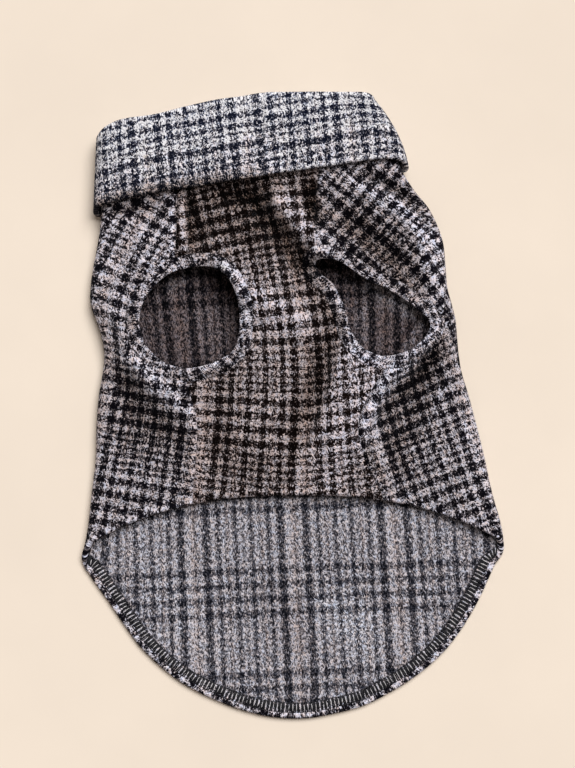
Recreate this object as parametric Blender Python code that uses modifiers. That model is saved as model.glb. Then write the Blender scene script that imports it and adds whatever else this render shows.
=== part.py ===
"""A small dog's sweater in brushed check wool, laid flat on a table with its belly side up.

The back panel lies underneath. It turns up round both sides of the body and ends at two side seams on
the belly side, where the chest panel joins it. A doubled roll collar is sewn to the neck, a band edges
each armhole, and every free hem is turned inwards. All the cloth is laid as it was cut and sewn: the
back lies flat, and the layer above it keeps the folds it was dropped with.

Frame: metres, +Z up off the table, +Y from the tail to the collar, origin at the middle of the footprint.
"""

import math
from typing import NamedTuple

import bmesh
import bpy
from mathutils import Vector

MM = 0.001

# Driving sizes, in millimetres.
CLOTH = 1.5  # thickness of one layer of the wool
SEAM_GAP = 0.5  # gap left between two pieces that are sewn together
HEM_WIDTH = 7.0  # how far a hem is turned inwards
HEM_TURN = 0.9  # radius of the turn at a hem, to the middle of the cloth
BAND_WIDTH = 7.0  # the armhole bands, across
BAND_THICKNESS = 2.6
COLLAR_CLOTH = 2.3  # the collar's wall, two layers pressed together
COLLAR_HEIGHT = 15.6  # from the table to the top of the folded collar
COLLAR_TURN = 1.4  # radius of the collar's top fold, to the middle of its wall
STAND_LEVEL = 0.33  # the neck seam's place between the collar's lower edge and its top fold
COLLAR_FLARE = 1.5  # how far the collar's lower edge stands out in the middle
STAND_DEPTH = 11.0  # from the collar's lower edge up to the neck seam under it
FLOOR_LAYER = CLOTH / 2  # middle of the layer that lies on the table
NECK_LIFT = 3.9  # middle of the back's cloth where it rides over the collar's back
LIFT_LENGTH = 24.0  # length over which the back rises off the table to the collar

# The belly hem: an arch across the body, highest in the middle.
BELLY_TOP_Y = -45.0
BELLY_SAG = 24.0
BELLY_HALF_WIDTH = 104.0
BELLY_CENTRE_X = 3.0
BELLY_POWER = 2.5

TAIL_CORNER_Y = -76.0  # where the sides of the body end and the tail's hem begins


class TailStation(NamedTuple):
    """One place along the hem of the tail."""

    x: float
    y: float


TAIL_STATIONS = [
    TailStation(-106.0, -76.0),
    TailStation(-98.0, -88.2),
    TailStation(-92.0, -96.4),
    TailStation(-86.0, -105.2),
    TailStation(-80.0, -113.8),
    TailStation(-74.0, -121.4),
    TailStation(-62.0, -132.4),
    TailStation(-50.0, -140.5),
    TailStation(-32.0, -148.6),
    TailStation(-18.0, -153.0),
    TailStation(-6.0, -154.9),
    TailStation(6.0, -155.1),
    TailStation(18.0, -153.3),
    TailStation(34.0, -149.3),
    TailStation(46.0, -143.6),
    TailStation(58.0, -136.4),
    TailStation(68.0, -128.8),
    TailStation(76.0, -121.0),
    TailStation(82.0, -113.4),
    TailStation(88.0, -104.2),
    TailStation(94.0, -93.0),
    TailStation(100.0, -80.0),
    TailStation(105.4, -71.0),
]


class Section(NamedTuple):
    """The body at one height up the table: outer edges, side seams and how high its cloth stands."""

    y: float
    left: float
    right: float
    left_seam: float
    right_seam: float
    middle_height: float
    edge_height: float


SECTIONS = [
    Section(-76, -104.3, 104.0, -51.5, 50.0, 8.4, 6.4),
    Section(-70, -102.6, 104.4, -50.8, 49.5, 8.6, 6.4),
    Section(-60, -100.9, 103.0, -50.2, 48.5, 8.8, 6.4),
    Section(-45, -99.4, 98.9, -49.6, 44.3, 9.2, 6.4),
    Section(-28, -97.5, 95.3, -48.0, 35.6, 9.8, 6.8),
    Section(-10, -97.1, 90.9, -47.5, 33.0, 10.4, 7.4),
    Section(5, -95.9, 87.0, -51.2, 38.8, 11.0, 7.8),
    Section(15, -94.2, 84.0, -54.4, 45.0, 11.6, 7.9),
    Section(24, -93.4, 82.5, -56.5, 49.5, 12.0, 8.0),
    Section(34, -94.9, 81.6, -57.2, 45.0, 12.4, 8.1),
    Section(42, -97.6, 80.9, -57.8, 36.0, 12.8, 8.2),
    Section(50, -100.4, 79.0, -58.3, 29.0, 13.0, 8.3),
    Section(58, -100.5, 76.9, -58.6, 22.5, 13.2, 8.4),
    Section(70, -98.9, 75.9, -58.7, 14.0, 13.2, 8.8),
    Section(80, -97.0, 75.0, -58.4, 12.0, 12.8, 9.2),
    Section(88, -95.8, 72.6, -58.0, 11.0, 12.4, 9.6),
    Section(98, -95.0, 67.6, -57.6, 11.4, 12.0, 10.0),
    Section(106, -94.7, 61.0, -57.5, 12.0, 11.8, 10.6),
    Section(116, -94.6, 54.6, -57.0, 13.0, 11.6, 11.2),
    Section(124, -94.6, 51.4, -57.0, 13.6, 11.6, 11.5),
    Section(133, -94.6, 47.4, -57.0, 14.0, 11.6, 11.6),
]


class CollarStation(NamedTuple):
    """One place across the collar, left to right: lower edge in front and behind, and top fold."""

    share: float
    lower: float
    lower_back: float
    top: float


COLLAR_LEFT = (-99.9, -98.6)  # the left side's x at the lower edge and at the top fold
COLLAR_RIGHT = (58.4, 41.4)
COLLAR_SWELL = 2.8  # how far the right side curves out between those two
NECK_RIGHT_X = 46.0  # the neck seam runs straight across the body to the right of this
COLLAR_STATIONS = [
    CollarStation(0.00, 98.0, 93.6, 134.0),
    CollarStation(0.04, 99.0, 94.6, 138.6),
    CollarStation(0.09, 101.2, 98.0, 142.0),
    CollarStation(0.20, 105.0, 102.4, 144.4),
    CollarStation(0.32, 107.6, 105.0, 148.6),
    CollarStation(0.42, 110.4, 108.0, 151.8),
    CollarStation(0.52, 112.8, 110.6, 153.8),
    CollarStation(0.60, 115.0, 112.8, 155.6),
    CollarStation(0.74, 118.0, 116.0, 156.0),
    CollarStation(0.90, 121.8, 118.0, 156.0),
    CollarStation(0.97, 121.4, 117.0, 155.8),
    CollarStation(1.00, 119.6, 116.0, 155.0),
]


class Fold(NamedTuple):
    """A fold in the upper layer: where it runs, its height (a trough if below 0) and its two slopes."""

    name: str
    start: tuple
    bend: tuple
    end: tuple
    height: float
    left_slope: float
    right_slope: float


FOLDS = [
    Fold("chest ridge from the collar", (-11, 106), (0, 90), (18, 74), 3.2, 5.5, 8.0),
    Fold("chest trough beside it", (-25, 106), (-5, 78), (15, 56), -3.0, 8.0, 6.0),
    Fold("hollow under the collar", (-36, 102), (-27, 104), (-16, 103), -1.6, 7.0, 7.0),
    Fold("left shoulder seam trough", (-51, 103), (-49, 90), (-44, 77), -1.8, 4.5, 6.0),
    Fold("crest across the chest", (-26, 62), (-11, 46), (12, 42), 2.6, 7.0, 7.0),
    Fold("trough down the chest", (17, 54), (20, 20), (-3, -20), -2.6, 9.0, 5.0),
    Fold("ridge below the right armhole", (27, 34), (31, 6), (15, -40), 2.6, 8.0, 9.0),
    Fold("right seam ridge", (73, 35), (40, 16), (33, -22), 4.2, 4.0, 3.6),
    Fold("right seam lower ridge", (38, -8), (43, -24), (52, -44), 1.8, 3.6, 3.6),
    Fold("right side hollow", (72, 24), (58, 4), (54, -28), -2.6, 9.0, 8.0),
    Fold("left side ridge above", (-90, 50), (-88, 20), (-60, 4), 2.8, 5.0, 5.0),
    Fold("left side ridge below", (-62, 5), (-42, -10), (-51, -46), 2.8, 5.2, 5.6),
    Fold("left side hollow", (-92, 20), (-82, -4), (-56, -16), -2.6, 8.0, 8.0),
    Fold("left chest trough", (-31, 17), (-34, -4), (-39, -30), -1.4, 5.0, 5.0),
    Fold("right shoulder ridge", (36, 110), (71, 94), (71, 54), 2.8, 5.0, 5.0),
    Fold("right shoulder crease", (32, 116), (50, 108), (64, 90), -2.4, 4.0, 4.0),
    Fold("right shoulder hollow", (22, 98), (36, 86), (54, 68), -2.2, 13.0, 11.0),
    Fold("left shoulder crown", (-80, 88), (-78, 76), (-80, 64), 2.0, 14.0, 14.0),
    Fold("left crease under the collar", (-96, 97), (-81, 96), (-64, 100), -1.6, 5.0, 5.0),
    Fold("left armhole inner ridge", (-40, 74), (-27, 64), (-22, 44), 2.0, 4.0, 5.0),
]
FOLD_STEPS = 10
FOLD_FADE = 0.22  # share of a fold's length over which each end dies away
COLLAR_CLEAR = 9.0  # length over which the folds die away as the cloth goes under the collar


class EdgePoint(NamedTuple):
    """One place on the edge of an armhole, as seen from above. A smooth closed curve joins them."""

    x: float
    y: float


LEFT_ARMHOLE = [
    EdgePoint(-42.5, 68.0),
    EdgePoint(-58.5, 65.5),
    EdgePoint(-69.0, 58.0),
    EdgePoint(-75.5, 46.5),
    EdgePoint(-75.0, 33.5),
    EdgePoint(-67.0, 22.5),
    EdgePoint(-54.5, 17.6),
    EdgePoint(-41.0, 19.6),
    EdgePoint(-29.5, 26.5),
    EdgePoint(-26.5, 38.0),
    EdgePoint(-27.5, 51.5),
    EdgePoint(-33.0, 63.0),
]
RIGHT_ARMHOLE = [
    EdgePoint(12.8, 71.4),
    EdgePoint(23.0, 70.6),
    EdgePoint(35.0, 62.8),
    EdgePoint(50.0, 55.2),
    EdgePoint(62.5, 46.6),
    EdgePoint(68.6, 38.6),
    EdgePoint(61.0, 28.2),
    EdgePoint(48.0, 23.6),
    EdgePoint(36.0, 26.8),
    EdgePoint(29.4, 35.5),
    EdgePoint(26.0, 47.5),
    EdgePoint(20.5, 59.0),
    EdgePoint(12.6, 66.0),
]
CUTTER_BOTTOM = 3.4  # above the layer on the table
CUTTER_TOP = 40.0

# How finely each piece is divided.
CHEST_COLUMNS = 26
CHEST_ROWS = 34
WRAP_COLUMNS = 10
SIDE_COLUMNS = 5
FLOOR_COLUMNS = 18
BACK_ROWS = 34
SEAM_CROWDING = 1.4  # columns stand closer together towards a side seam
ARMHOLE_POINTS = 48
BAND_SIDES = 10
COLLAR_FLAT_COLUMNS = 15
COLLAR_SIDE_COLUMNS = 7
COLLAR_WALL_ROWS = 5
TURN_ROWS = 3
PLY_ROWS = 2


def smoothstep(low, high, value):
    """0 below low, 1 above high, and an even S between them."""
    share = min(1.0, max(0.0, (value - low) / (high - low)))
    return share * share * (3 - 2 * share)


def lerp(a, b, share):
    return a + (b - a) * share


def along_table(rows, key, column, at):
    """A table's column at a key between its rows, along a smooth curve through them."""
    keys = [getattr(row, key) for row in rows]
    values = [getattr(row, column) for row in rows]
    at = min(keys[-1], max(keys[0], at))
    i = max(0, min(len(keys) - 2, sum(1 for k in keys if k <= at) - 1))
    span = keys[i + 1] - keys[i]
    t = (at - keys[i]) / span

    def slope(n):
        before, after = max(0, n - 1), min(len(keys) - 1, n + 1)
        return (values[after] - values[before]) / (keys[after] - keys[before]) * span

    rise, fall = slope(i), slope(i + 1)
    t2, t3 = t * t, t * t * t
    start = values[i] * (2 * t3 - 3 * t2 + 1) + rise * (t3 - 2 * t2 + t)
    return start + values[i + 1] * (3 * t2 - 2 * t3) + fall * (t3 - t2)


def section(column, y):
    return along_table(SECTIONS, "y", column, y)


def collar_share(x):
    """Where x lies across the collar, from 0 on its left side to 1 on its right."""
    left, right = COLLAR_LEFT[0], COLLAR_RIGHT[0]
    return min(1.0, max(0.0, (x - left) / (right - left)))


def collar_lower(x):
    """The y of the collar's lower edge in front."""
    return along_table(COLLAR_STATIONS, "share", "lower", collar_share(x))


def collar_lower_back(x):
    """The y of the collar's lower edge on the table."""
    return along_table(COLLAR_STATIONS, "share", "lower_back", collar_share(x))


def neck_y(x):
    """The y of the neck seam, where the body's cloth ends inside the collar."""
    return collar_lower(min(x, NECK_RIGHT_X)) + STAND_DEPTH


def tail_y(x):
    """The y of the tail's hem."""
    return along_table(TAIL_STATIONS, "x", "y", x)


def belly_y(x):
    """The y of the hem of the upper layer."""
    across = min(1.0, abs(x - BELLY_CENTRE_X) / BELLY_HALF_WIDTH)
    return BELLY_TOP_Y - BELLY_SAG * across**BELLY_POWER


def fold_height(fold, x, y):
    """What one fold adds to the height of the upper layer at a point."""
    here = Vector((x, y))
    start, bend, end = Vector(fold.start), Vector(fold.bend), Vector(fold.end)
    best, share, side = 1e9, 0.0, 1.0
    before = start
    for step in range(1, FOLD_STEPS + 1):
        t = step / FOLD_STEPS
        after = start * (1 - t) ** 2 + bend * 2 * t * (1 - t) + end * t**2
        run = after - before
        part = min(1.0, max(0.0, (here - before).dot(run) / run.length_squared))
        away = here - (before + run * part)
        if away.length < best:
            best = away.length
            share = (step - 1 + part) / FOLD_STEPS
            side = run.x * away.y - run.y * away.x
        before = after
    slope = fold.left_slope if side > 0 else fold.right_slope
    ends = smoothstep(0, FOLD_FADE, share) * smoothstep(0, FOLD_FADE, 1 - share)
    return fold.height * lerp(0.35, 1.0, ends) * math.exp(-((best / slope) ** 2))


def side_radius(y):
    """Radius of the turn at the body's sides, to the middle of the cloth."""
    x = section("left", y)
    return (section("edge_height", y) - floor_height(x, y)) / 2


def floor_height(x, y):
    """Middle of the lower layer: on the table, and over the collar's back near the neck."""
    rise = smoothstep(-LIFT_LENGTH, -2.0, y - collar_lower_back(x))
    return lerp(FLOOR_LAYER, NECK_LIFT, rise)


def crown(x, y):
    """Middle of the upper layer where it is not yet turning down at the sides."""
    left, right = section("left", y), section("right", y)
    share = min(1.0, max(0.0, (x - left) / (right - left)))
    middle, edge = section("middle_height", y), section("edge_height", y)
    base = lerp(edge, middle, 1 - abs(2 * share - 1) ** 3)
    free = smoothstep(0, COLLAR_CLEAR, collar_lower(x) - y)
    inside = smoothstep(0, 14, x - left) * smoothstep(0, 14, right - x)
    hem = lerp(0.45, 1.0, smoothstep(0, 18, y - belly_y(x)))
    folds = sum(fold_height(fold, x, y) for fold in FOLDS)
    return base + folds * free * inside * hem


def upper_height(x, y):
    """Middle of the upper layer anywhere inside the outline, the turned sides included."""
    radius = side_radius(y)
    left, right = section("left", y), section("right", y)
    past = max(left + radius - x, x - (right - radius), 0.0)
    if past <= 0:
        return crown(x, y)
    top = crown(left + radius if x < 0 else right - radius, y)
    return top - radius + math.sqrt(max(0.0, radius**2 - min(past, radius) ** 2))


class Column(NamedTuple):
    """One column of the back panel, from its hem to the neck: its zone and its place in that zone."""

    zone: str
    share: float


def back_columns():
    """The back's columns, from the left side seam round under the body to the right one."""
    columns = [Column("left wrap", (i / WRAP_COLUMNS) ** SEAM_CROWDING) for i in range(WRAP_COLUMNS)]
    columns += [Column("left side", i / SIDE_COLUMNS) for i in range(SIDE_COLUMNS)]
    columns += [Column("floor", i / FLOOR_COLUMNS) for i in range(FLOOR_COLUMNS)]
    columns += [Column("right side", i / SIDE_COLUMNS) for i in range(SIDE_COLUMNS)]
    for i in range(WRAP_COLUMNS):
        columns.append(Column("right wrap", 1 - (1 - i / WRAP_COLUMNS) ** SEAM_CROWDING))
    return columns + [Column("right wrap", 1.0)]


def back_xz(column, y):
    """Where a column of the back crosses a line of constant y: x and height."""
    held = max(y, TAIL_CORNER_Y)
    radius = side_radius(held)
    left, right = section("left", held), section("right", held)
    if column.zone == "left wrap":
        x = lerp(section("left_seam", y) - SEAM_GAP / 2, left + radius, column.share)
        return x, crown(x, y)
    if column.zone == "right wrap":
        x = lerp(right - radius, section("right_seam", y) + SEAM_GAP / 2, column.share)
        return x, crown(x, y)
    if column.zone == "floor":
        even = smoothstep(TAIL_CORNER_Y - 30, TAIL_CORNER_Y + 40, y)
        share = lerp(0.5 - 0.5 * math.cos(math.pi * column.share), column.share, 0.3 + 0.7 * even)
        x = lerp(left + radius, right - radius, share)
        return x, floor_height(x, y)
    on_left = column.zone == "left side"
    centre_x = left + radius if on_left else right - radius
    top, low = crown(centre_x, held), floor_height(centre_x, held)
    turn = math.pi * (column.share if on_left else 1 - column.share)
    reach = radius * math.sin(turn)
    x = centre_x - reach if on_left else centre_x + reach
    return x, (top + low) / 2 + (top - low) / 2 * math.cos(turn)


def back_hem_y(column):
    """The y of the hem on a column of the back."""
    y = belly_y(-BELLY_HALF_WIDTH)
    for _ in range(4):
        x = back_xz(column, y)[0]
        if column.zone == "floor":
            y = tail_y(x)
        elif column.zone in ("left wrap", "right wrap"):
            y = belly_y(x)
        else:
            turn = column.share if column.zone == "left side" else 1 - column.share
            low = tail_y(back_xz(Column("floor", 0.0 if column.zone == "left side" else 1.0), y)[0])
            y = lerp(belly_y(x), low, smoothstep(0, 1, turn))
    return y


def back_point(column, y):
    x, z = back_xz(column, y)
    return Vector((x, y, z))


def chest_x(share, y):
    left = section("left_seam", y) + SEAM_GAP / 2
    right = section("right_seam", y) - SEAM_GAP / 2
    return lerp(left, right, share)


def chest_point(share, y):
    x = chest_x(share, y)
    return Vector((x, y, crown(x, y)))


def settle(hem_or_neck, x_at, first):
    """The y at which a column meets a line across the body."""
    y = first
    for _ in range(4):
        y = hem_or_neck(x_at(y))
    return y


def hemmed_column(point, across, hem, neck, rows, inside, inward=None):
    """One column's points: the turned ply, the turn at the hem, then the panel up to the neck.

    point gives the panel at a y, across the panel beside it, and inside is the sign of the normal that
    faces the body. inward is the way square to the hem, where that is not the way of the column.
    """

    def normal(y):
        up = point(y + 1.0) - point(y - 1.0)
        over = across(y, 1) - across(y, -1)
        return over.cross(up).normalized() * inside

    def from_hem(distance):
        if inward is None:
            return point(hem + distance), normal(hem + distance)
        place = point(hem) + inward * distance
        return Vector((place.x, place.y, floor_height(place.x, place.y))), Vector((0, 0, 1))

    made = []
    for step in range(PLY_ROWS):
        place, facing = from_hem(lerp(HEM_WIDTH, HEM_TURN, step / PLY_ROWS))
        made.append(place + facing * 2 * HEM_TURN)
    base, facing = from_hem(HEM_TURN)
    outward = (from_hem(0.0)[0] - base).normalized() * HEM_TURN
    for step in range(TURN_ROWS + 1):
        turn = math.pi * (1 - step / TURN_ROWS)
        made.append(base + facing * HEM_TURN * (1 - math.cos(turn)) + outward * math.sin(turn))
    for step in range(1, rows + 1):
        made.append(point(lerp(hem + HEM_TURN, neck, step / rows)))
    return made


def mesh_object(name, bm, colour, roughness, collection):
    """A shaded object of its own from a bmesh in millimetres, with its own material."""
    bmesh.ops.scale(bm, vec=(MM, MM, MM), verts=bm.verts)
    bmesh.ops.recalc_face_normals(bm, faces=bm.faces)
    mesh = bpy.data.meshes.new(name)
    bm.to_mesh(mesh)
    bm.free()
    mesh.shade_smooth()
    thing = bpy.data.objects.new(name, mesh)
    collection.objects.link(thing)
    material = bpy.data.materials.new(name)
    material.use_nodes = True
    shader = material.node_tree.nodes["Principled BSDF"]
    shader.inputs["Base Color"].default_value = (*colour, 1)
    shader.inputs["Roughness"].default_value = roughness
    mesh.materials.append(material)
    return thing


def sheet_of(points):
    """A bmesh grid that passes through a table of points, a list for each column."""
    bm = bmesh.new()
    columns, rows = len(points), len(points[0])
    bmesh.ops.create_grid(bm, x_segments=columns - 1, y_segments=rows - 1, size=1.0)
    for vert in bm.verts:
        i = round((vert.co.x + 1) / 2 * (columns - 1))
        j = round((vert.co.y + 1) / 2 * (rows - 1))
        vert.co = points[i][j]
    return bm


def solidify(thing, thickness):
    wall = thing.modifiers.new("Wall", "SOLIDIFY")
    wall.thickness = thickness * MM
    wall.offset = 0
    wall.use_even_offset = False


def closed_curve(points, count):
    """count points along the smooth closed curve through the given ones."""
    number = len(points)
    made = []
    for step in range(count):
        at = step / count * number
        i = int(at)
        t = at - i
        a, b, c, d = (Vector(points[(i + k - 1) % number]) for k in range(4))
        made.append(
            0.5 * (2 * b + (c - a) * t + (2 * a - 5 * b + 4 * c - d) * t**2 + (3 * b - a - 3 * c + d) * t**3)
        )
    return made


def outward_normals(outline):
    """The normals of a closed plan outline, pointing away from the hole, turned evenly at its tips."""
    number = len(outline)
    centre = sum(outline, Vector((0, 0))) / number
    made = []
    for i in range(number):
        run = outline[(i + 1) % number] - outline[i - 1]
        normal = Vector((run.y, -run.x)).normalized()
        if normal.dot(outline[i] - centre) < 0:
            normal = -normal
        made.append(normal)
    return made


def armhole_cutter(name, points, collection):
    """A prism over an armhole, as wide as the seam of its band."""
    outline = closed_curve(points, ARMHOLE_POINTS)
    normals = outward_normals(outline)
    bm = bmesh.new()
    ring = [
        bm.verts.new((*(point + normal * BAND_WIDTH), CUTTER_BOTTOM)) for point, normal in zip(outline, normals)
    ]
    face = bm.faces.new(ring)
    top = bmesh.ops.extrude_face_region(bm, geom=[face])
    lifted = [item for item in top["geom"] if isinstance(item, bmesh.types.BMVert)]
    bmesh.ops.translate(bm, verts=lifted, vec=(0, 0, CUTTER_TOP - CUTTER_BOTTOM))
    cutter = mesh_object(name, bm, (0.6, 0.2, 0.2), 0.5, collection)
    cutter.hide_render = True
    cutter.display_type = "WIRE"
    return cutter


def cut(thing, cutter):
    hole = thing.modifiers.new(cutter.name, "BOOLEAN")
    hole.operation = "DIFFERENCE"
    hole.solver = "EXACT"
    hole.object = cutter


def make_back(collection):
    """The back panel: flat underneath, turned up round both sides to the side seams."""
    columns = back_columns()
    points = []
    for i, column in enumerate(columns):
        hem = back_hem_y(column)
        neck = settle(neck_y, lambda y, c=column: back_xz(c, y)[0], 110.0)
        after = columns[min(i + 1, len(columns) - 1)]
        before = columns[max(i - 1, 0)]
        inward = None
        if column.zone == "floor":
            run = back_point(after, back_hem_y(after)) - back_point(before, back_hem_y(before))
            inward = Vector((-run.y, run.x, 0)).normalized()

        def across(y, side, after=after, before=before):
            return back_point(after if side > 0 else before, y)

        points.append(
            hemmed_column(lambda y, c=column: back_point(c, y), across, hem, neck, BACK_ROWS, 1, inward)
        )
    thing = mesh_object("back_panel", sheet_of(points), (0.2, 0.19, 0.2), 0.95, collection)
    solidify(thing, CLOTH)
    return thing


def make_chest(collection):
    """The chest panel, between the side seams and the shoulder seams on the belly side."""
    points = []
    for i in range(CHEST_COLUMNS + 1):
        share = lerp(i / CHEST_COLUMNS, 0.5 - 0.5 * math.cos(math.pi * i / CHEST_COLUMNS), 0.6)
        hem = settle(belly_y, lambda y, s=share: chest_x(s, y), BELLY_TOP_Y)
        neck = settle(neck_y, lambda y, s=share: chest_x(s, y), 110.0)

        def across(y, side, share=share):
            return chest_point(share + side * 0.01, y)

        points.append(
            hemmed_column(lambda y, s=share: chest_point(s, y), across, hem, neck, CHEST_ROWS, -1)
        )
    thing = mesh_object("chest_panel", sheet_of(points), (0.24, 0.22, 0.22), 0.95, collection)
    solidify(thing, CLOTH)
    return thing


def make_band(name, points, collection):
    """An armhole band: a flat doubled strip round the opening, rounded at the arm's edge."""
    outline = closed_curve(points, ARMHOLE_POINTS)
    normals = outward_normals(outline)
    reach = BAND_WIDTH - SEAM_GAP
    rings = []
    for point, normal in zip(outline, normals):
        ring = []
        for side in range(BAND_SIDES):
            turn = 2 * math.pi * side / BAND_SIDES
            out = reach * (0.5 - 0.5 * math.cos(turn))
            place = point + normal * out
            half = lerp(BAND_THICKNESS, CLOTH, smoothstep(0.5, 1.0, out / reach)) / 2
            lift = half * math.copysign(abs(math.sin(turn)) ** 0.45, math.sin(turn))
            ring.append(Vector((*place, upper_height(*place) + lift)))
        rings.append([*ring, ring[0]])
    rings.append(rings[0])
    bm = sheet_of(rings)
    bmesh.ops.remove_doubles(bm, verts=bm.verts, dist=0.001)
    return mesh_object(name, bm, (0.26, 0.25, 0.27), 0.95, collection)


def collar_left(level):
    return lerp(*COLLAR_LEFT, level)


def collar_right(level):
    return lerp(*COLLAR_RIGHT, level) + COLLAR_SWELL * 4 * level * (1 - level)


def collar_ring(inset, level):
    """The collar's flattened tube at one level up it: x and height, all the way round."""
    half = (COLLAR_HEIGHT - COLLAR_CLOTH) / 2 - inset
    middle = COLLAR_HEIGHT / 2
    left = collar_left(level) + COLLAR_CLOTH / 2 + inset + half
    right = collar_right(level) - COLLAR_CLOTH / 2 - inset - half
    made = []
    for i in range(COLLAR_FLAT_COLUMNS):
        made.append((lerp(left, right, i / COLLAR_FLAT_COLUMNS), middle + half))
    for i in range(COLLAR_SIDE_COLUMNS):
        turn = math.pi * i / COLLAR_SIDE_COLUMNS
        made.append((right + half * math.sin(turn), middle + half * math.cos(turn)))
    for i in range(COLLAR_FLAT_COLUMNS):
        made.append((lerp(right, left, i / COLLAR_FLAT_COLUMNS), middle - half))
    for i in range(COLLAR_SIDE_COLUMNS):
        turn = math.pi * i / COLLAR_SIDE_COLUMNS
        made.append((left - half * math.sin(turn), middle - half * math.cos(turn)))
    return made


def collar_profile():
    """The collar's wall from its lower edge, over the top fold and down the stand: inset and level."""
    outer = [(0.0, i / COLLAR_WALL_ROWS) for i in range(COLLAR_WALL_ROWS + 1)]
    fold = [
        (COLLAR_TURN * (1 - math.cos(math.pi * i / TURN_ROWS)), 1 + math.sin(math.pi * i / TURN_ROWS))
        for i in range(1, TURN_ROWS)
    ]
    inner = [(2 * COLLAR_TURN, 1 - i / COLLAR_WALL_ROWS) for i in range(COLLAR_WALL_ROWS + 1)]
    return outer + fold + inner


def make_collar(collection):
    """The roll collar: up from the neck seam inside, over its top fold and down outside."""
    rows = []
    for inset, level in collar_profile():
        flat_level = min(1.0, level)
        bulge = max(0.0, level - 1) * COLLAR_TURN
        row = []
        on_stand = inset > COLLAR_TURN
        at_level = lerp(STAND_LEVEL, 1.0, flat_level) if on_stand else flat_level
        for x, z in collar_ring(inset, at_level):
            left, right = collar_left(at_level), collar_right(at_level)
            share = min(1.0, max(0.0, (x - left) / (right - left)))
            front = along_table(COLLAR_STATIONS, "share", "lower", share)
            behind = along_table(COLLAR_STATIONS, "share", "lower_back", share)
            top = along_table(COLLAR_STATIONS, "share", "top", share) - COLLAR_TURN - COLLAR_CLOTH / 2
            if on_stand:
                lower = neck_y(x) + SEAM_GAP + 0.1
            else:
                lower = lerp(behind, front, smoothstep(0.1, 0.9, z / COLLAR_HEIGHT))
                out = (1 - flat_level) ** 2 * 4 * share * (1 - share)
                z += COLLAR_FLARE * out * smoothstep(0.5, 1.0, z / COLLAR_HEIGHT)
            row.append(Vector((x, lerp(lower, top, flat_level) + bulge, z)))
        rows.append([*row, row[0]])
    bm = sheet_of(rows)
    bmesh.ops.remove_doubles(bm, verts=bm.verts, dist=0.001)
    thing = mesh_object("collar", bm, (0.34, 0.33, 0.36), 0.95, collection)
    solidify(thing, COLLAR_CLOTH)
    return thing


def main():
    for thing in list(bpy.data.objects):
        bpy.data.objects.remove(thing)
    sweater = bpy.data.collections.new("dog_sweater")
    cutters = bpy.data.collections.new("cutters")
    for collection in (sweater, cutters):
        bpy.context.scene.collection.children.link(collection)
    holes = [
        armhole_cutter("left_armhole_cutter", LEFT_ARMHOLE, cutters),
        armhole_cutter("right_armhole_cutter", RIGHT_ARMHOLE, cutters),
    ]
    for panel in (make_back(sweater), make_chest(sweater)):
        for hole in holes:
            cut(panel, hole)
    make_band("armhole_band_left", LEFT_ARMHOLE, sweater)
    make_band("armhole_band_right", RIGHT_ARMHOLE, sweater)
    make_collar(sweater)


main()
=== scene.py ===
"""The looks of a small dog's sweater in brushed check wool, laid flat with its belly side up.

The back panel lies underneath. It turns up round both sides of the body to the side seams on the belly
side, where the chest panel joins it. A doubled roll collar is sewn to the neck, a band binds each
armhole, and every free hem is turned in. The pieces are worked out in millimetres and made in metres.
"""

import logging  # noqa: E402
import math  # noqa: E402
from dataclasses import dataclass, field  # noqa: E402
from enum import Enum, IntEnum  # noqa: E402
from typing import Any, Callable, NamedTuple, Sequence  # noqa: E402

import bmesh  # noqa: E402
import bpy  # noqa: E402
import numpy as np  # noqa: E402
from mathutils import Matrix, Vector  # noqa: E402


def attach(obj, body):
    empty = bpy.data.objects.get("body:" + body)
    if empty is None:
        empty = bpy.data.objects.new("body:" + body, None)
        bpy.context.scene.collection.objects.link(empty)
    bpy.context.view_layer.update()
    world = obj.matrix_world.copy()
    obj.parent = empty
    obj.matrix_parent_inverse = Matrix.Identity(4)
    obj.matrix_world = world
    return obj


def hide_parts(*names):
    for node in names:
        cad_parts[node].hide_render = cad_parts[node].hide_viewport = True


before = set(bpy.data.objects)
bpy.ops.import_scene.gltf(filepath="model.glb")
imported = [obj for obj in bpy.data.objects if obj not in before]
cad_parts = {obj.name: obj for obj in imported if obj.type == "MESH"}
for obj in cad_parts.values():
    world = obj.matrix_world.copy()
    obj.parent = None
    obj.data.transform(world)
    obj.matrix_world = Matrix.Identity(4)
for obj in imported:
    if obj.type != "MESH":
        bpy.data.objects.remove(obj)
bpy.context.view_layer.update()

LOG = logging.getLogger("dog_sweater")
MM = 0.001
SLOT = "check_wool"
BODY = "root"
CLOTH_MAP = "cloth"  # the map of places on the flat cloth, in repeats of the check
PAINTED_LIGHT_RIGHT_SIDE = "rise"  # the right side's painted light and shade: painted highlight above 0 and painted shade below, in millimetres of relief
PAINTED_LIGHT_WRONG_SIDE = "rise_within"  # the same for the wrong side
REPEAT = 51.0  # one repeat of the check, both ways, in millimetres
FAR = 99.0  # further off than anything reaches, in millimetres
TINY = 1e-9  # keeps a divisor off 0
LEAST_SAY = 1e-5  # keeps the nearest of the check's charted turns in force far from all of them

Array = np.ndarray
Colour = tuple[float, float, float]
Span = tuple[float, float]
Material = bpy.types.Material
Thing = bpy.types.Object


class Spot(NamedTuple):
    """One place as seen from above."""

    x: float
    y: float


class Section(NamedTuple):
    """The body at one height up the table: outer edges, side seams and how high its cloth stands."""

    y: float
    left: float
    right: float
    left_seam: float
    right_seam: float
    middle_height: float
    edge_height: float


class CollarStation(NamedTuple):
    """One place across the collar, left to right: lower edge in front and behind, and top fold."""

    share: float
    lower: float
    lower_back: float
    top: float


class Fold(NamedTuple):
    """A fold of the cloth or a stroke of painted light and shade: its name, its way, its height (a trough or
    painted shade if below 0) and the reach of its two slopes."""

    name: str
    start: tuple[float, float]
    bend: tuple[float, float]
    end: tuple[float, float]
    height: float
    left_slope: float
    right_slope: float


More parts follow.
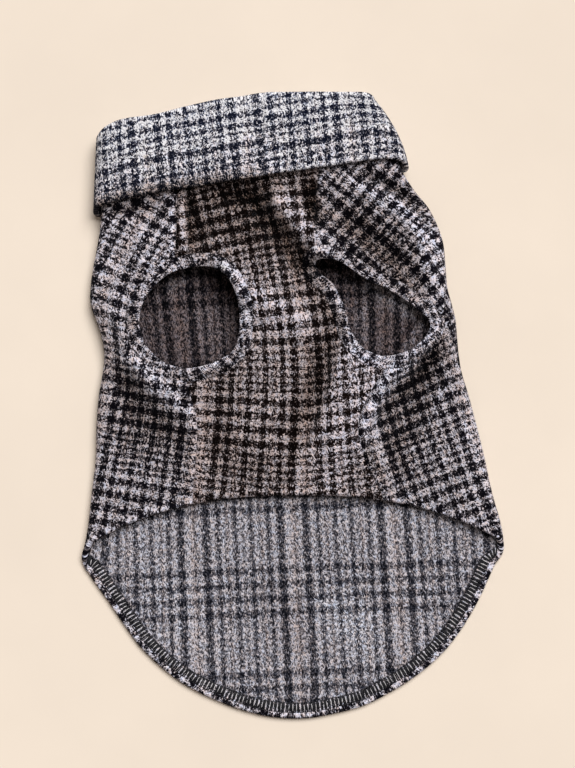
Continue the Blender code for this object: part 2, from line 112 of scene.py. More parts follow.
class Lay(NamedTuple):
    """How the check lies at one place on the belly side, turned clockwise by so many degrees."""

    x: float
    y: float
    turn: float


def table(kind: Callable[..., Any], *rows: Sequence[Any]) -> list[Any]:
    """Rows of figures, each made into one of a kind."""
    return [kind(*row) for row in rows]


# Along the hem of the tail, from left to right.
TAIL_STATIONS = table(
    Spot,
    (-106.0, -76.0), (-98.0, -88.2), (-92.0, -96.4), (-86.0, -105.2), (-80.0, -113.8), (-74.0, -121.4),
    (-62.0, -132.4), (-50.0, -140.5), (-32.0, -148.6), (-18.0, -153.0), (-6.0, -154.9), (6.0, -155.1),
    (18.0, -153.3), (34.0, -149.3), (46.0, -143.6), (58.0, -136.4), (68.0, -128.8), (76.0, -121.0),
    (82.0, -113.4), (88.0, -104.2), (94.0, -93.0), (100.0, -80.0), (105.4, -71.0),
)
SECTIONS = table(
    Section,
    (-76, -104.3, 104.0, -51.5, 50.0, 8.4, 6.4), (-70, -102.6, 104.4, -50.8, 49.5, 8.6, 6.4),
    (-60, -100.9, 103.0, -50.2, 48.5, 8.8, 6.4), (-45, -99.4, 98.9, -49.6, 44.3, 9.2, 6.4),
    (-28, -97.5, 95.3, -48.0, 35.6, 9.8, 6.8), (-10, -97.1, 90.9, -47.5, 33.0, 10.4, 7.4),
    (5, -95.9, 87.0, -51.2, 38.8, 11.0, 7.8), (15, -94.2, 84.0, -54.4, 45.0, 11.6, 7.9),
    (24, -93.4, 82.5, -56.5, 49.5, 12.0, 8.0), (34, -94.9, 81.6, -57.2, 45.0, 12.4, 8.1),
    (42, -97.6, 80.9, -57.8, 36.0, 12.8, 8.2), (50, -100.4, 79.0, -58.3, 29.0, 13.0, 8.3),
    (58, -100.5, 76.9, -58.6, 22.5, 13.2, 8.4), (70, -98.9, 75.9, -58.7, 14.0, 13.2, 8.8),
    (80, -97.0, 75.0, -58.4, 12.0, 12.8, 9.2), (88, -95.8, 72.6, -58.0, 11.0, 12.4, 9.6),
    (98, -95.0, 67.6, -57.6, 11.4, 12.0, 10.0), (106, -94.7, 61.0, -57.5, 12.0, 11.8, 10.6),
    (116, -94.6, 54.6, -57.0, 13.0, 11.6, 11.2), (124, -94.6, 51.4, -57.0, 13.6, 11.6, 11.5),
    (133, -94.6, 47.4, -57.0, 14.0, 11.6, 11.6),
)
COLLAR_STATIONS = table(
    CollarStation,
    (0.00, 98.0, 93.6, 134.0), (0.04, 99.0, 94.6, 138.6), (0.09, 101.2, 98.0, 142.0),
    (0.20, 105.0, 102.4, 144.4), (0.32, 107.6, 105.0, 148.6), (0.42, 110.4, 108.0, 151.8),
    (0.52, 112.8, 110.6, 153.8), (0.60, 115.0, 112.8, 155.6), (0.74, 118.0, 116.0, 156.0),
    (0.90, 121.8, 118.0, 156.0), (0.97, 121.4, 117.0, 155.8), (1.00, 119.6, 116.0, 155.0),
)
# The broad folds of the upper layer.
FOLDS = table(
    Fold,
    ("chest ridge from the collar", (-11, 106), (0, 90), (18, 74), 3.2, 5.5, 6.0),
    ("chest trough beside it", (-25, 106), (-5, 78), (15, 56), -3.0, 8.0, 6.0),
    ("hollow under the collar", (-36, 102), (-27, 104), (-16, 103), -1.6, 7.0, 7.0),
    ("left shoulder seam trough", (-51, 103), (-49, 90), (-44, 77), -1.8, 4.5, 6.0),
    ("crest across the chest", (-26, 58), (-11, 43), (12, 38), 2.4, 7.0, 7.0),
    ("trough down the chest", (19, 52), (20, 20), (-3, -20), -1.9, 9.0, 7.0),
    ("ridge below the right armhole", (27, 34), (31, 6), (15, -40), 2.6, 8.0, 9.0),
    ("right seam ridge", (73, 35), (40, 16), (33, -22), 4.2, 4.0, 3.6),
    ("right seam lower ridge", (38, -8), (43, -24), (52, -44), 0.7, 3.6, 3.6),
    ("right side hollow", (72, 24), (58, 4), (54, -28), -2.6, 9.0, 8.0),
    ("left side ridge above", (-90, 50), (-88, 20), (-60, 4), 2.8, 5.0, 5.0),
    ("left side ridge below", (-62, 5), (-37, -12), (-50, -47), 0.9, 4.6, 5.0),
    ("left side hollow", (-92, 20), (-82, -4), (-56, -16), -2.2, 8.0, 9.0),
    ("left chest trough", (-31, 17), (-34, -4), (-39, -30), -1.4, 5.0, 5.0),
    ("right shoulder ridge", (36, 110), (71, 94), (71, 54), 2.8, 5.0, 5.0),
    ("right shoulder crease", (32, 116), (50, 108), (64, 90), -2.4, 4.0, 4.0),
    ("right shoulder hollow", (22, 98), (36, 86), (54, 68), -2.2, 13.0, 11.0),
    ("left shoulder crown", (-74, 92), (-69, 77), (-69, 62), 0.7, 13.0, 12.0),
    ("left crease under the collar", (-96, 97), (-81, 96), (-64, 100), -1.6, 5.0, 5.0),
    ("left armhole inner ridge", (-40, 74), (-27, 64), (-22, 44), 2.0, 4.0, 5.0),
)
# Narrower ones, which run on nearly to the edges.
CREASES = table(
    Fold,
    ("narrow crease down the chest", (22, 21), (13, 2), (3, -33), -0.9, 1.6, 2.6),
    ("lip beside that crease", (25, 20), (17, 0), (7, -33), 0.6, 2.0, 2.4),
    ("pucker above the belly", (-24, 10), (-20, 4), (-15, 0), -0.5, 1.6, 1.8),
    ("pull from the right armhole", (30, 42), (22, 22), (20, 4), 0.7, 2.4, 2.2),
    ("second pull beside it", (24, 38), (18, 26), (16, 12), -0.6, 2.0, 2.0),
    ("gather at the left seam", (-47, -6), (-40, -14), (-42, -30), -0.7, 2.2, 2.4),
    ("nick under the left band", (-54, 6), (-50, 0), (-47, -6), -0.7, 1.8, 1.8),
    ("crease off the collar", (-22, 104), (-14, 92), (-2, 84), -1.0, 2.2, 3.0),
    ("pull over the breast", (-44, 84), (-30, 76), (-20, 70), 0.8, 3.0, 3.0),
    ("dip over the breast", (-40, 92), (-28, 86), (-14, 76), -0.9, 3.0, 3.6),
    ("crease on the right shoulder", (24, 92), (36, 84), (44, 74), -0.7, 2.2, 3.0),
    ("rise on the right shoulder", (30, 98), (46, 90), (58, 76), 0.8, 3.0, 3.0),
    ("crumple at the right side", (82, 16), (70, 2), (66, -14), 0.8, 3.0, 3.4),
    ("dip at the right side", (76, -8), (66, -22), (66, -40), -0.7, 4.0, 4.0),
    ("crumple at the left side", (-94, 30), (-90, 14), (-80, 2), -0.9, 2.6, 3.0),
    ("dip at the left side", (-92, -10), (-84, -22), (-72, -30), -0.6, 4.0, 4.0),
    ("low swell of the belly", (-26, -22), (-14, -26), (0, -34), 0.7, 6.0, 6.0),
    ("ridge beside the left shoulder seam", (-55, 112), (-55, 92), (-54, 72), 0.9, 1.3, 1.3),
    ("groove beside that ridge", (-52.4, 112), (-52.2, 92), (-51, 74), -1.1, 1.2, 1.6),
)

# Strokes of painted light and shade on the upper layer: painted highlight above 0, painted shade below. Their
# heights only paint and add nothing to the shape.
PAINTED_STROKES = table(
    Fold,
    ("pressed under the collar", (-51, 107), (-29, 107), (-1, 109), -4.0, 7.0, 7.0),
    ("darkest under the collar", (-38, 105), (-29, 103), (-14, 103), -3.0, 6.0, 6.0),
    ("wedge right of the chest ridge", (9, 113), (9, 102), (12, 88), -11.0, 3.6, 4.2),
    ("left shoulder seam shadow", (-50, 106), (-50, 94), (-48, 80), -3.2, 3.0, 3.0),
    ("strip beside the left shoulder seam", (-55, 108), (-55, 88), (-54, 70), 3.4, 1.3, 1.3),
    ("side of the chest ridge", (-12, 102), (-2, 77), (15, 56), -3.4, 8.0, 4.5),
    ("left shoulder seam", (-57.4, 106), (-57.6, 88), (-58, 71), -4.6, 1.1, 1.1),
    ("groove past its strip", (-52, 108), (-52, 90), (-51, 74), -4.0, 1.2, 1.4),
    ("edge of the left shoulder seam", (-60, 104), (-60, 88), (-60.4, 72), 2.6, 1.2, 1.2),
    ("upper chest", (-50, 90), (-28, 86), (-8, 84), -3.3, 15.0, 15.0),
    ("chest trough", (15, 36), (14, 17), (6, -3), -2.0, 8.0, 7.0),
    ("chest trough below", (4, -6), (-1, -23), (-4, -49), -2.8, 2.6, 2.6),
    ("beside the right armhole", (9, 51), (19, 44), (26, 36), -2.2, 5.0, 5.0),
    ("right shoulder", (21, 94), (41, 84), (64, 62), -2.6, 12.0, 9.0),
    ("right side hollow", (77, 30), (64, 20), (48, 3), -3.6, 6.0, 6.0),
    ("foot of the right shoulder", (46, 76), (56, 68), (66, 54), -2.2, 6.0, 6.0),
    ("right side hollow below", (46, 2), (48, -14), (56, -40), -3.4, 3.4, 5.4),
    ("right seam shadow", (34, -12), (37, -23), (43, -38), -2.4, 2.2, 2.2),
    ("left side hollow", (-90, 22), (-87, 10), (-72, 4), -2.6, 5.0, 6.0),
    ("left side hollow below", (-60, 0), (-56, -13), (-57, -34), -2.6, 6.0, 5.0),
    ("left side", (-88, -3), (-76, -13), (-62, -22), -2.3, 14.0, 15.0),
    ("lower left chest", (-39, -17), (-29, -26), (-9, -33), -2.2, 11.0, 11.0),
    ("left shoulder", (-92, 98), (-90, 78), (-93, 56), 1.2, 8.0, 8.0),
    ("chest ridge", (-4, 109), (0, 95), (14, 76), 2.6, 4.6, 5.0),
    ("under the collar's left end", (-98, 92), (-88, 98), (-70, 102), -3.2, 3.0, 3.0),
    ("left edge of the right armhole", (9, 66), (17, 61), (25, 46), 3.4, 2.2, 2.4),
    ("right shoulder edge", (29, 110), (51, 99), (69, 84), 3.0, 2.8, 2.8),
    ("right shoulder edge below", (69, 84), (76, 68), (72, 46), 2.0, 4.0, 4.0),
    ("crease outside that edge", (44, 114), (56, 106), (67, 93), -4.0, 3.0, 3.2),
    ("left band's rim", (-82, 38), (-79, 17), (-69, 6), -2.2, 4.6, 4.6),
    ("left band's foot", (-67, 5), (-59, 0), (-48, -10), 2.2, 4.0, 4.0),
    ("tab at the foot of the left armhole", (-46, 19), (-40, 18), (-34, 24), 2.4, 2.2, 2.2),
    ("line under that tab", (-46, 13), (-37, 13), (-30, 21), -3.2, 1.2, 1.4),
    ("crease below the left band", (-60, 12), (-56, 6), (-51, -4), -3.4, 1.0, 1.2),
    ("beside the left armhole", (-86, 46), (-86, 33), (-83, 22), -2.4, 5.0, 5.0),
    ("lip of the right seam ridge", (72, 40), (66, 22), (35, -3), 2.8, 1.8, 1.6),
    ("dark side of that ridge", (77, 36), (70, 16), (40, -8), -3.4, 2.0, 3.4),
    ("left armhole's right rim", (-31, 65), (-26, 54), (-24, 45), 2.6, 3.0, 3.0),
    ("breast", (-24, 42), (-9, 38), (10, 36), 1.2, 6.5, 6.5),
    ("under the right armhole", (35, 25), (46, 15), (62, 28), 4.6, 4.2, 4.6),
    ("right seam light", (41, 15), (38, 3), (33, -10), 2.6, 4.6, 4.6),
    ("right of the belly", (26, -4), (23, -25), (18, -46), 3.0, 9.0, 9.0),
    ("left seam foot", (-44, -6), (-48, -20), (-52, -48), -0.8, 3.6, 3.6),
    ("middle of the belly hem", (0, -28), (1, -38), (0, -48), 2.2, 3.6, 3.6),
    ("right seam shadow below", (34, -16), (40, -28), (46, -39), -1.6, 2.0, 2.0),
    ("right edge", (88, -6), (94, -23), (101, -46), 1.6, 6.0, 6.0),
)
# The same on the lower layer.
FLOOR_PAINTED_STROKES = table(
    Fold,
    ("turned-in edge inside the right armhole", (55, 27), (61, 35), (68, 44), 2.6, 2.4, 3.6),
    ("line beside that edge", (52, 28), (57, 36), (63, 45), -3.0, 1.5, 1.5),
    ("light under the left armhole's upper edge", (-66, 56), (-59, 62), (-50, 65), 3.6, 4.0, 4.0),
    ("shade inside the left armhole", (-43, 62), (-36, 62), (-28, 53), -3.0, 6.0, 6.0),
    ("shade inside the right armhole", (12, 71), (20, 69), (30, 65), -3.0, 3.4, 3.4),
    ("along the right armhole's upper edge", (32, 64), (50, 54), (67, 42), 6.5, 4.6, 4.6),
    ("light inside the right armhole", (35, 52), (36, 42), (36, 28), 2.4, 5.0, 5.0),
    ("light inside the left armhole", (-46, 52), (-44, 40), (-42, 26), 1.4, 8.0, 8.0),
    ("swell of the tail", (10, -96), (26, -104), (40, -118), 1.2, 11.0, 11.0),
    ("dip of the tail", (-10, -92), (0, -110), (2, -128), -0.8, 10.0, 10.0),
    ("left of the tail", (-66, -84), (-56, -98), (-46, -112), 0.7, 12.0, 12.0),
)

# The armholes' edges, each joined up by a smooth closed curve.
LEFT_ARMHOLE = table(
    Spot,
    (-42.5, 68.0), (-58.5, 65.5), (-69.0, 58.0), (-75.5, 46.5), (-75.0, 33.5), (-67.0, 22.5),
    (-54.5, 17.6), (-41.0, 19.6), (-29.5, 26.5), (-26.5, 38.0), (-27.5, 51.5), (-33.0, 63.0),
)
RIGHT_ARMHOLE = table(
    Spot,
    (12.8, 71.4), (23.0, 70.6), (35.0, 62.8), (50.0, 55.2), (62.5, 46.6), (68.6, 38.6), (61.0, 28.2),
    (48.0, 23.6), (36.0, 26.8), (29.4, 35.5), (26.0, 47.5), (20.5, 59.0), (12.6, 66.0),
)
# How the check lies at places on the upper side of the back panel, and on the chest.
BACK_LAY = table(
    Lay,
    (-86, 27, -2), (-86, 7, 8), (-69, -3, 8), (-89, -18, 12), (-66, -23, 8), (-86, -43, 9),
    (-64, -43, 8), (-71, 84, 34), (-89, 72, 28), (-74, 67, 32), (-89, 52, 22), (-86, 90, 34),
    (26, 99, -52), (41, 102, -50), (29, 82, -55), (46, 84, -55), (54, 67, -52), (68, 64, -50),
    (69, 47, -44), (69, 27, -22), (54, 9, -20), (71, 4, -18), (46, -13, -16), (66, -13, -18),
    (84, -18, -17), (51, -36, -24), (71, -38, -18),
)
CHEST_LAY = table(
    Lay,
    (-39, 89, -16), (-21, 89, -16), (-1, 89, -2), (-24, 67, -14), (-6, 67, -12), (-26, 42, -4),
    (-6, 42, -4), (11, 42, -8), (-34, 17, 4), (-14, 17, 4), (6, 17, 0), (21, 7, -12), (-39, -8, 4),
    (-19, -8, 12), (4, -8, 8), (24, -13, -12), (-39, -31, 10), (-16, -31, 8), (9, -31, -8),
)
FLOOR_TURN = -3.0  # the check's turn on the lower layer, in degrees
LAY_REACH = 13.0  # how far each of those places has its say


def smoothstep(low: float, high: float, value: Any) -> Any:
    """0 below low, 1 above high, and an even S between them."""
    share = np.clip((value - low) / (high - low), 0.0, 1.0)
    return share * share * (3 - 2 * share)


def lerp(a: Any, b: Any, share: Any) -> Any:
    """The value a share of the way from a to b."""
    return a + (b - a) * share


def bell(away: Any, reach: Any) -> Any:
    """1 at no distance, and next to nothing at twice the reach."""
    return np.exp(-((away / reach) ** 2))


def unit(vectors: Array) -> Array:
    """The same directions, each with a length of 1."""
    return vectors / np.maximum(np.linalg.norm(vectors, axis=-1, keepdims=True), TINY)


def travelled(points: Array, axis: int = 0) -> Array:
    """How far each place of a grid lies along its line, from the line's first place."""
    steps = np.linalg.norm(np.diff(points, axis=axis), axis=-1)
    return np.cumsum(np.insert(steps, 0, 0.0, axis), axis)


def along_table(rows: Sequence[Any], key: str, column: str, at: Any) -> Array:
    """A table's column at keys between its rows, along a smooth curve through them.

    Args:
        rows: The table.
        key: The name of the column that the keys are in, rising.
        column: The name of the wanted column.
        at: The keys to read it at.

    Returns:
        The values, in the shape of the keys.
    """
    keys = np.array([getattr(row, key) for row in rows], float)
    values = np.array([getattr(row, column) for row in rows], float)
    at = np.clip(at, keys[0], keys[-1])
    i = np.clip(np.searchsorted(keys, at, side="right") - 1, 0, len(keys) - 2)
    span = keys[i + 1] - keys[i]
    t = (at - keys[i]) / span

    def slope(n: Array) -> Array:
        """The curve's slope at row n, over this span."""
        before, after = np.maximum(n - 1, 0), np.minimum(n + 1, len(keys) - 1)
        return (values[after] - values[before]) / (keys[after] - keys[before]) * span

    t2, t3 = t * t, t * t * t
    start = values[i] * (2 * t3 - 3 * t2 + 1) + slope(i) * (t3 - 2 * t2 + t)
    return start + values[i + 1] * (3 * t2 - 2 * t3) + slope(i + 1) * (t3 - t2)


def closed_curve(points: Sequence[Spot], count: int) -> Array:
    """Places along the smooth closed curve through the given points.

    Args:
        points: The points that the curve passes through.
        count: How many places to return.

    Returns:
        An array of count rows of x and y.
    """
    given = np.array(points, float)
    at = np.arange(count) / count * len(given)
    i = at.astype(int)
    t = (at - i)[:, None]
    a, b, c, d = (given[(i + k - 1) % len(given)] for k in range(4))
    return 0.5 * (2 * b + (c - a) * t + (2 * a - 5 * b + 4 * c - d) * t**2 + (3 * b - a - 3 * c + d) * t**3)


@dataclass(frozen=True)
class Ripple:
    """A soft unevenness of cloth, as a sum of a few waves in random directions."""

    seed: int
    height: float
    shortest: float
    longest: float
    waves: int = 14

    def at(self, x: Array, y: Array) -> Array:
        """The ripple's height at each place."""
        rng = np.random.default_rng(self.seed)
        total = np.zeros(np.broadcast(x, y).shape)
        for _ in range(self.waves):
            length = rng.uniform(self.shortest, self.longest)
            heading, phase = rng.uniform(0, math.tau, 2)
            total += np.sin((x * math.cos(heading) + y * math.sin(heading)) / length * math.tau + phase)
        return total * self.height / math.sqrt(self.waves / 2)


@dataclass
class BodyForm:
    """The shape that the body's cloth lies in. All the panels read their places from it.

    The spans are distances from an edge or a hem over which something sets in, in millimetres.
    """

    cloth: float = 1.5
    band_width: float = 7.0
    floor_layer: float = 0.75
    neck_lift: float = 3.9
    lift_span: Span = (-24.0, -2.0)
    stand_depth: float = 11.0
    neck_right_x: float = 46.0
    belly_top_y: float = -45.0
    belly_sag: float = 24.0
    belly_half_width: float = 104.0
    belly_centre_x: float = 3.0
    belly_power: float = 2.5
    tail_corner_y: float = -76.0
    collar_left_x: float = -99.9
    collar_right_x: float = 58.4
    crown_power: int = 3
    fold_steps: int = 10
    fold_fade: float = 0.22
    fold_end: float = 0.35
    fold_gain: float = 1.65
    fold_span: Span = (0, 14)
    crest_blend: float = 0.6
    crest_width: float = 0.5
    crease_span: Span = (0, 5)
    collar_clear: float = 9.0
    hem_calm: float = 0.45
    hem_span: Span = (0, 18)
    hem_sink: float = 3.0
    sink_sides: Span = (6, 44)
    sink_rows: Span = (26, 2)
    # Painted shade inside the tube, and the span past the belly hem over which it sets in
    tube_painted_shade: float = -6.2
    tube_painted_shade_span: Span = (-2, 12)
    swell_at: Span = (54.0, 52.0)
    swell_height: float = 3.2
    swell_reach: float = 14.0
    rumple: Ripple = Ripple(seed=7, height=0.30, shortest=7.0, longest=24.0)

    def section(self, column: str, y: Any) -> Array:
        """A column of the body's sections at a y."""
        return along_table(SECTIONS, "y", column, y)

    def edges(self, y: Any) -> tuple[Array, Array]:
        """The x of the body's left and right edges at a y."""
        return self.section("left", y), self.section("right", y)

    def seams(self, y: Any) -> tuple[Array, Array]:
        """The x of the left and right side seams at a y."""
        return self.section("left_seam", y), self.section("right_seam", y)

    def inside(self, span: Span, x: Array, y: Array) -> Array:
        """0 at the body's edges, and 1 where a span in from both of them is over."""
        left, right = self.edges(y)
        return smoothstep(*span, x - left) * smoothstep(*span, right - x)

    def collar_share(self, x: Any) -> Array:
        """Where x lies across the collar, from 0 on its left side to 1 on its right."""
        return np.clip((x - self.collar_left_x) / (self.collar_right_x - self.collar_left_x), 0.0, 1.0)

    def collar_lower(self, x: Any) -> Array:
        """The y of the collar's lower edge in front."""
        return along_table(COLLAR_STATIONS, "share", "lower", self.collar_share(x))

    def neck_y(self, x: Any) -> Array:
        """The y of the neck seam, where the body's cloth ends inside the collar."""
        return self.collar_lower(np.minimum(x, self.neck_right_x)) + self.stand_depth

    def tail_y(self, x: Any) -> Array:
        """The y of the tail's hem."""
        return along_table(TAIL_STATIONS, "x", "y", x)

    def belly_y(self, x: Any) -> Array:
        """The y of the hem of the upper layer."""
        across = np.minimum(1.0, abs(x - self.belly_centre_x) / self.belly_half_width)
        return self.belly_top_y - self.belly_sag * across**self.belly_power

    def fold_height(self, fold: Fold, x: Array, y: Array) -> Array:
        """What one fold adds to the height of the upper layer.

        Args:
            fold: The fold.
            x: Places across.
            y: Places up the table.

        Returns:
            The added height at each place.
        """
        start, bend, end = (np.array(p, float) for p in (fold.start, fold.bend, fold.end))
        best = np.full(x.shape, np.inf)
        share, side = np.zeros(x.shape), np.ones(x.shape)
        before = start
        for step in range(1, self.fold_steps + 1):
            t = step / self.fold_steps
            after = start * (1 - t) ** 2 + bend * 2 * t * (1 - t) + end * t**2
            run = after - before
            part = np.clip(((x - before[0]) * run[0] + (y - before[1]) * run[1]) / (run @ run), 0.0, 1.0)
            away_x, away_y = x - (before[0] + run[0] * part), y - (before[1] + run[1] * part)
            length = np.hypot(away_x, away_y)
            nearer = length < best
            best = np.where(nearer, length, best)
            share = np.where(nearer, (step - 1 + part) / self.fold_steps, share)
            side = np.where(nearer, run[0] * away_y - run[1] * away_x, side)
            before = after
        turn = smoothstep(-self.crest_blend, self.crest_blend, side / np.maximum(best, self.crest_width))
        slope = lerp(fold.right_slope, fold.left_slope, turn)
        ends = smoothstep(0, self.fold_fade, share) * smoothstep(0, self.fold_fade, 1 - share)
        return fold.height * lerp(self.fold_end, 1.0, ends) * bell(best, slope)

    def folded(self, folds: Sequence[Fold], x: Array, y: Array) -> Array:
        """What some folds add together at each place."""
        return sum(self.fold_height(fold, x, y) for fold in folds)

    def floor_height(self, x: Any, y: Any) -> Array:
        """Middle of the lower layer: on the table, and over the collar's back near the neck."""
        lower_back = along_table(COLLAR_STATIONS, "share", "lower_back", self.collar_share(x))
        rise = smoothstep(*self.lift_span, y - lower_back)
        away = np.hypot(x - self.swell_at[0], y - self.swell_at[1])
        swell = self.swell_height * bell(away, self.swell_reach)
        return lerp(self.floor_layer, self.neck_lift, rise) + swell

    def side_radius(self, y: Any) -> Array:
        """Radius of the turn at the body's sides, to the middle of the cloth."""
        return (self.section("edge_height", y) - self.floor_height(self.section("left", y), y)) / 2

    def crown(self, x: Any, y: Any) -> Array:
        """Middle of the upper layer where it is not yet turning down at the sides."""
        x, y = np.broadcast_arrays(np.asarray(x, float), np.asarray(y, float))
        left, right = self.edges(y)
        share = np.clip((x - left) / (right - left), 0.0, 1.0)
        middle, edge = self.section("middle_height", y), self.section("edge_height", y)
        base = lerp(edge, middle, 1 - abs(2 * share - 1) ** self.crown_power)
        sunk = self.hem_sink * self.inside(self.sink_sides, x, y)
        return base - sunk * smoothstep(*self.sink_rows, y - self.belly_y(x)) + self.relief(x, y)

    def relief(self, x: Array, y: Array) -> Array:
        """What the folds and creases add to the upper layer's height."""
        free = smoothstep(0, self.collar_clear, self.collar_lower(x) - y)
        hem = lerp(self.hem_calm, 1.0, smoothstep(*self.hem_span, y - self.belly_y(x)))
        folds = self.folded(FOLDS, x, y) * self.inside(self.fold_span, x, y) * self.fold_gain
        near = self.inside(self.crease_span, x, y)
        folds = folds + self.folded(CREASES, x, y) * near
        folds = folds + self.rumple.at(x, y) * near
        return folds * free * hem

    def rise(self, x: Array, y: Array) -> Array:
        """The upper layer's painted light and shade: painted highlight on the folds, painted shade in their
        hollows and under the collar, and the strokes of it.
        """
        return self.relief(x, y) + self.folded(PAINTED_STROKES, x, y)

    def floor_rise(self, x: Array, y: Array) -> Array:
        """The lower layer's painted light and shade: none on the tail, painted shade further inside the tube,
        and the strokes of it.
        """
        within = smoothstep(*self.tube_painted_shade_span, y - self.belly_y(x)) * self.tube_painted_shade
        return within + self.folded(FLOOR_PAINTED_STROKES, x, y)

    def upper_height(self, x: Array, y: Array) -> Array:
        """Middle of the upper layer anywhere inside the outline, the turned sides included."""
        radius = self.side_radius(y)
        left, right = self.edges(y)
        past = np.maximum(np.maximum(left + radius - x, x - (right - radius)), 0.0)
        top = self.crown(np.where(past > 0, np.where(x < 0, left + radius, right - radius), x), y)
        return top - radius + np.sqrt(np.maximum(0.0, radius**2 - np.minimum(past, radius) ** 2))


@dataclass
class Armhole:
    """The edge of an armhole as seen from above, and how far things lie from it."""

    points: Sequence[Spot]
    count: int = 300
    margin: float = 16.0
    chunk: int = 4000
    edge: Array = field(init=False)
    outward: Array = field(init=False)

    def __post_init__(self) -> None:
        """Works out the edge and its outward directions."""
        self.edge = closed_curve(self.points, self.count)
        run = np.roll(self.edge, -1, 0) - np.roll(self.edge, 1, 0)
        normal = unit(np.stack([run[:, 1], -run[:, 0]], -1))
        middle = self.edge.mean(0)
        facing = np.sign(((self.edge - middle) * normal).sum(-1, keepdims=True))
        self.outward = normal * facing

    def away(self, x: Array, y: Array) -> tuple[Array, Array]:
        """Measures how far places are from the armhole.

        Args:
            x: Places across.
            y: Places up the table.

        Returns:
            How far outside the edge each place lies, negative in the hole, and the nearest edge place.
        """
        places = np.stack([x.ravel(), y.ravel()], -1)
        out = np.full(len(places), FAR)
        nearest = np.zeros(len(places), int)
        low, high = self.edge.min(0) - self.margin, self.edge.max(0) + self.margin
        close = np.flatnonzero(((places > low) & (places < high)).all(-1))
        for chunk in np.array_split(close, max(1, len(close) // self.chunk)):
            gap = np.linalg.norm(places[chunk, None] - self.edge[None], axis=-1)
            n = gap.argmin(1)
            side = ((places[chunk] - self.edge[n]) * self.outward[n]).sum(-1)
            out[chunk] = np.where(side < 0, -gap.min(1), gap.min(1))
            nearest[chunk] = n
        return out.reshape(x.shape), nearest.reshape(x.shape)


class Face(NamedTuple):
    """How one face of the wool shows its check. Lengths are in millimetres.

    Its fields are the attribute that carries the painted light and shade, how far the lines stray, over what
    width their edges blur, the tone of the narrow ones, the warp's share in the tone, and how much the
    hairs that cross the others show.
    """

    attribute: str
    wander: float
    edge: float
    faint: float
    warp: float
    crossing: float


class ClothSide(Enum):
    """Which face of the wool shows."""

    RIGHT = Face(PAINTED_LIGHT_RIGHT_SIDE, 1.5, 0.8, 0.0, 0.5, 0.7)
    WRONG = Face(PAINTED_LIGHT_WRONG_SIDE, 3.0, 1.6, 0.8, 0.64, 0.40)


class Line(NamedTuple):
    """A dark line of the check: its middle and its width, in millimetres along one repeat."""

    middle: float
    width: float


class Weave(Enum):
    """Which run of the check's rows a piece was cut from."""

    BODY = (
        Line(0.0, 3.4), Line(7.0, 3.4), Line(14.0, 3.4), Line(21.0, 3.4), Line(26.4, 2.1), Line(30.2, 2.0),
        Line(34.0, 2.0), Line(37.8, 2.0), Line(41.6, 2.0), Line(45.4, 2.1),
    )
    COLLAR = (
        Line(3.1, 2.2), Line(7.0, 2.4), Line(12.8, 3.4), Line(19.0, 1.3), Line(22.9, 2.6), Line(28.2, 3.2),
        Line(34.0, 2.4), Line(37.9, 2.4), Line(44.0, 3.2),
    )


WARP = (Line(6.5, 3.9), Line(12.7, 2.8), Line(21.5, 3.0), Line(29.5, 3.0), Line(38.3, 2.8), Line(44.5, 3.9))
PIN_GAP = 2.6  # a light gap wider than this has a pin stripe down its middle
PIN_TONE = 0.45
FINE_LINE = 2.5  # a line narrower than this is one of the close ones
FLAT_LINE = 0.85  # a line with a wider half than this is evenly dark across its middle
FLAT_GAP = 1.0  # a light gap wider than this is evenly light


class Cloud(NamedTuple):
    """A soft noise: how many features it has to a unit, its detail, its roughness and its twist."""

    scale: float
    detail: float = 2.0
    rough: float = 0.5
    twist: float = 0.0


class Hue(NamedTuple):
    """A cast of colour in patches: its cloud, the levels where it sets in and is full, its colour."""

    cloud: Cloud
    low: float
    high: float
    colour: Colour


ACROSS_CLOUD = Cloud(REPEAT / 1.5, 3.0, 0.65, 0.6)  # strays the warp's lines
ALONG_CLOUD = Cloud(REPEAT / 1.3, 3.0, 0.65, 0.6)  # strays the weft's
BEND_CLOUD = Cloud(REPEAT / 4.5, 1.0)  # bends the hairs
HAIR_CLOUD = Cloud(REPEAT / 0.58, 0.0, 0.5, 0.5)
TUFT_CLOUD = Cloud(REPEAT / 1.4, 2.0, 0.55, 0.3)
WEAR_CLOUD = Cloud(REPEAT / 13.0)
THREAD_CLOUD = Cloud(2200.0, 2.0, 0.6)
FLOOR_CLOUD = Cloud(9.0, 4.0, 0.55)
HUES = (
    Hue(Cloud(REPEAT / 3.4, 2.0, 0.6), 0.42, 0.60, (0.86, 0.93, 1.0)),
    Hue(Cloud(REPEAT / 1.2, 2.0, 0.6), 0.48, 0.60, (0.90, 0.97, 1.08)),
    Hue(Cloud(REPEAT / 1.5, 2.0, 0.6), 0.52, 0.64, (1.04, 0.97, 0.91)),
)
# How much of the fawn yarn there is at places along the warp's repeat.
FAWN = (
    (0.0, 0.9), (0.05, 0.3), (0.32, 0.2), (0.34, 0.8), (0.36, 0.2), (0.66, 0.2), (0.68, 0.8), (0.70, 0.2),
    (0.95, 0.3), (1.0, 0.9),
)
MOST_WHITE = (0.90, 0.90, 0.92)  # no wool is paler


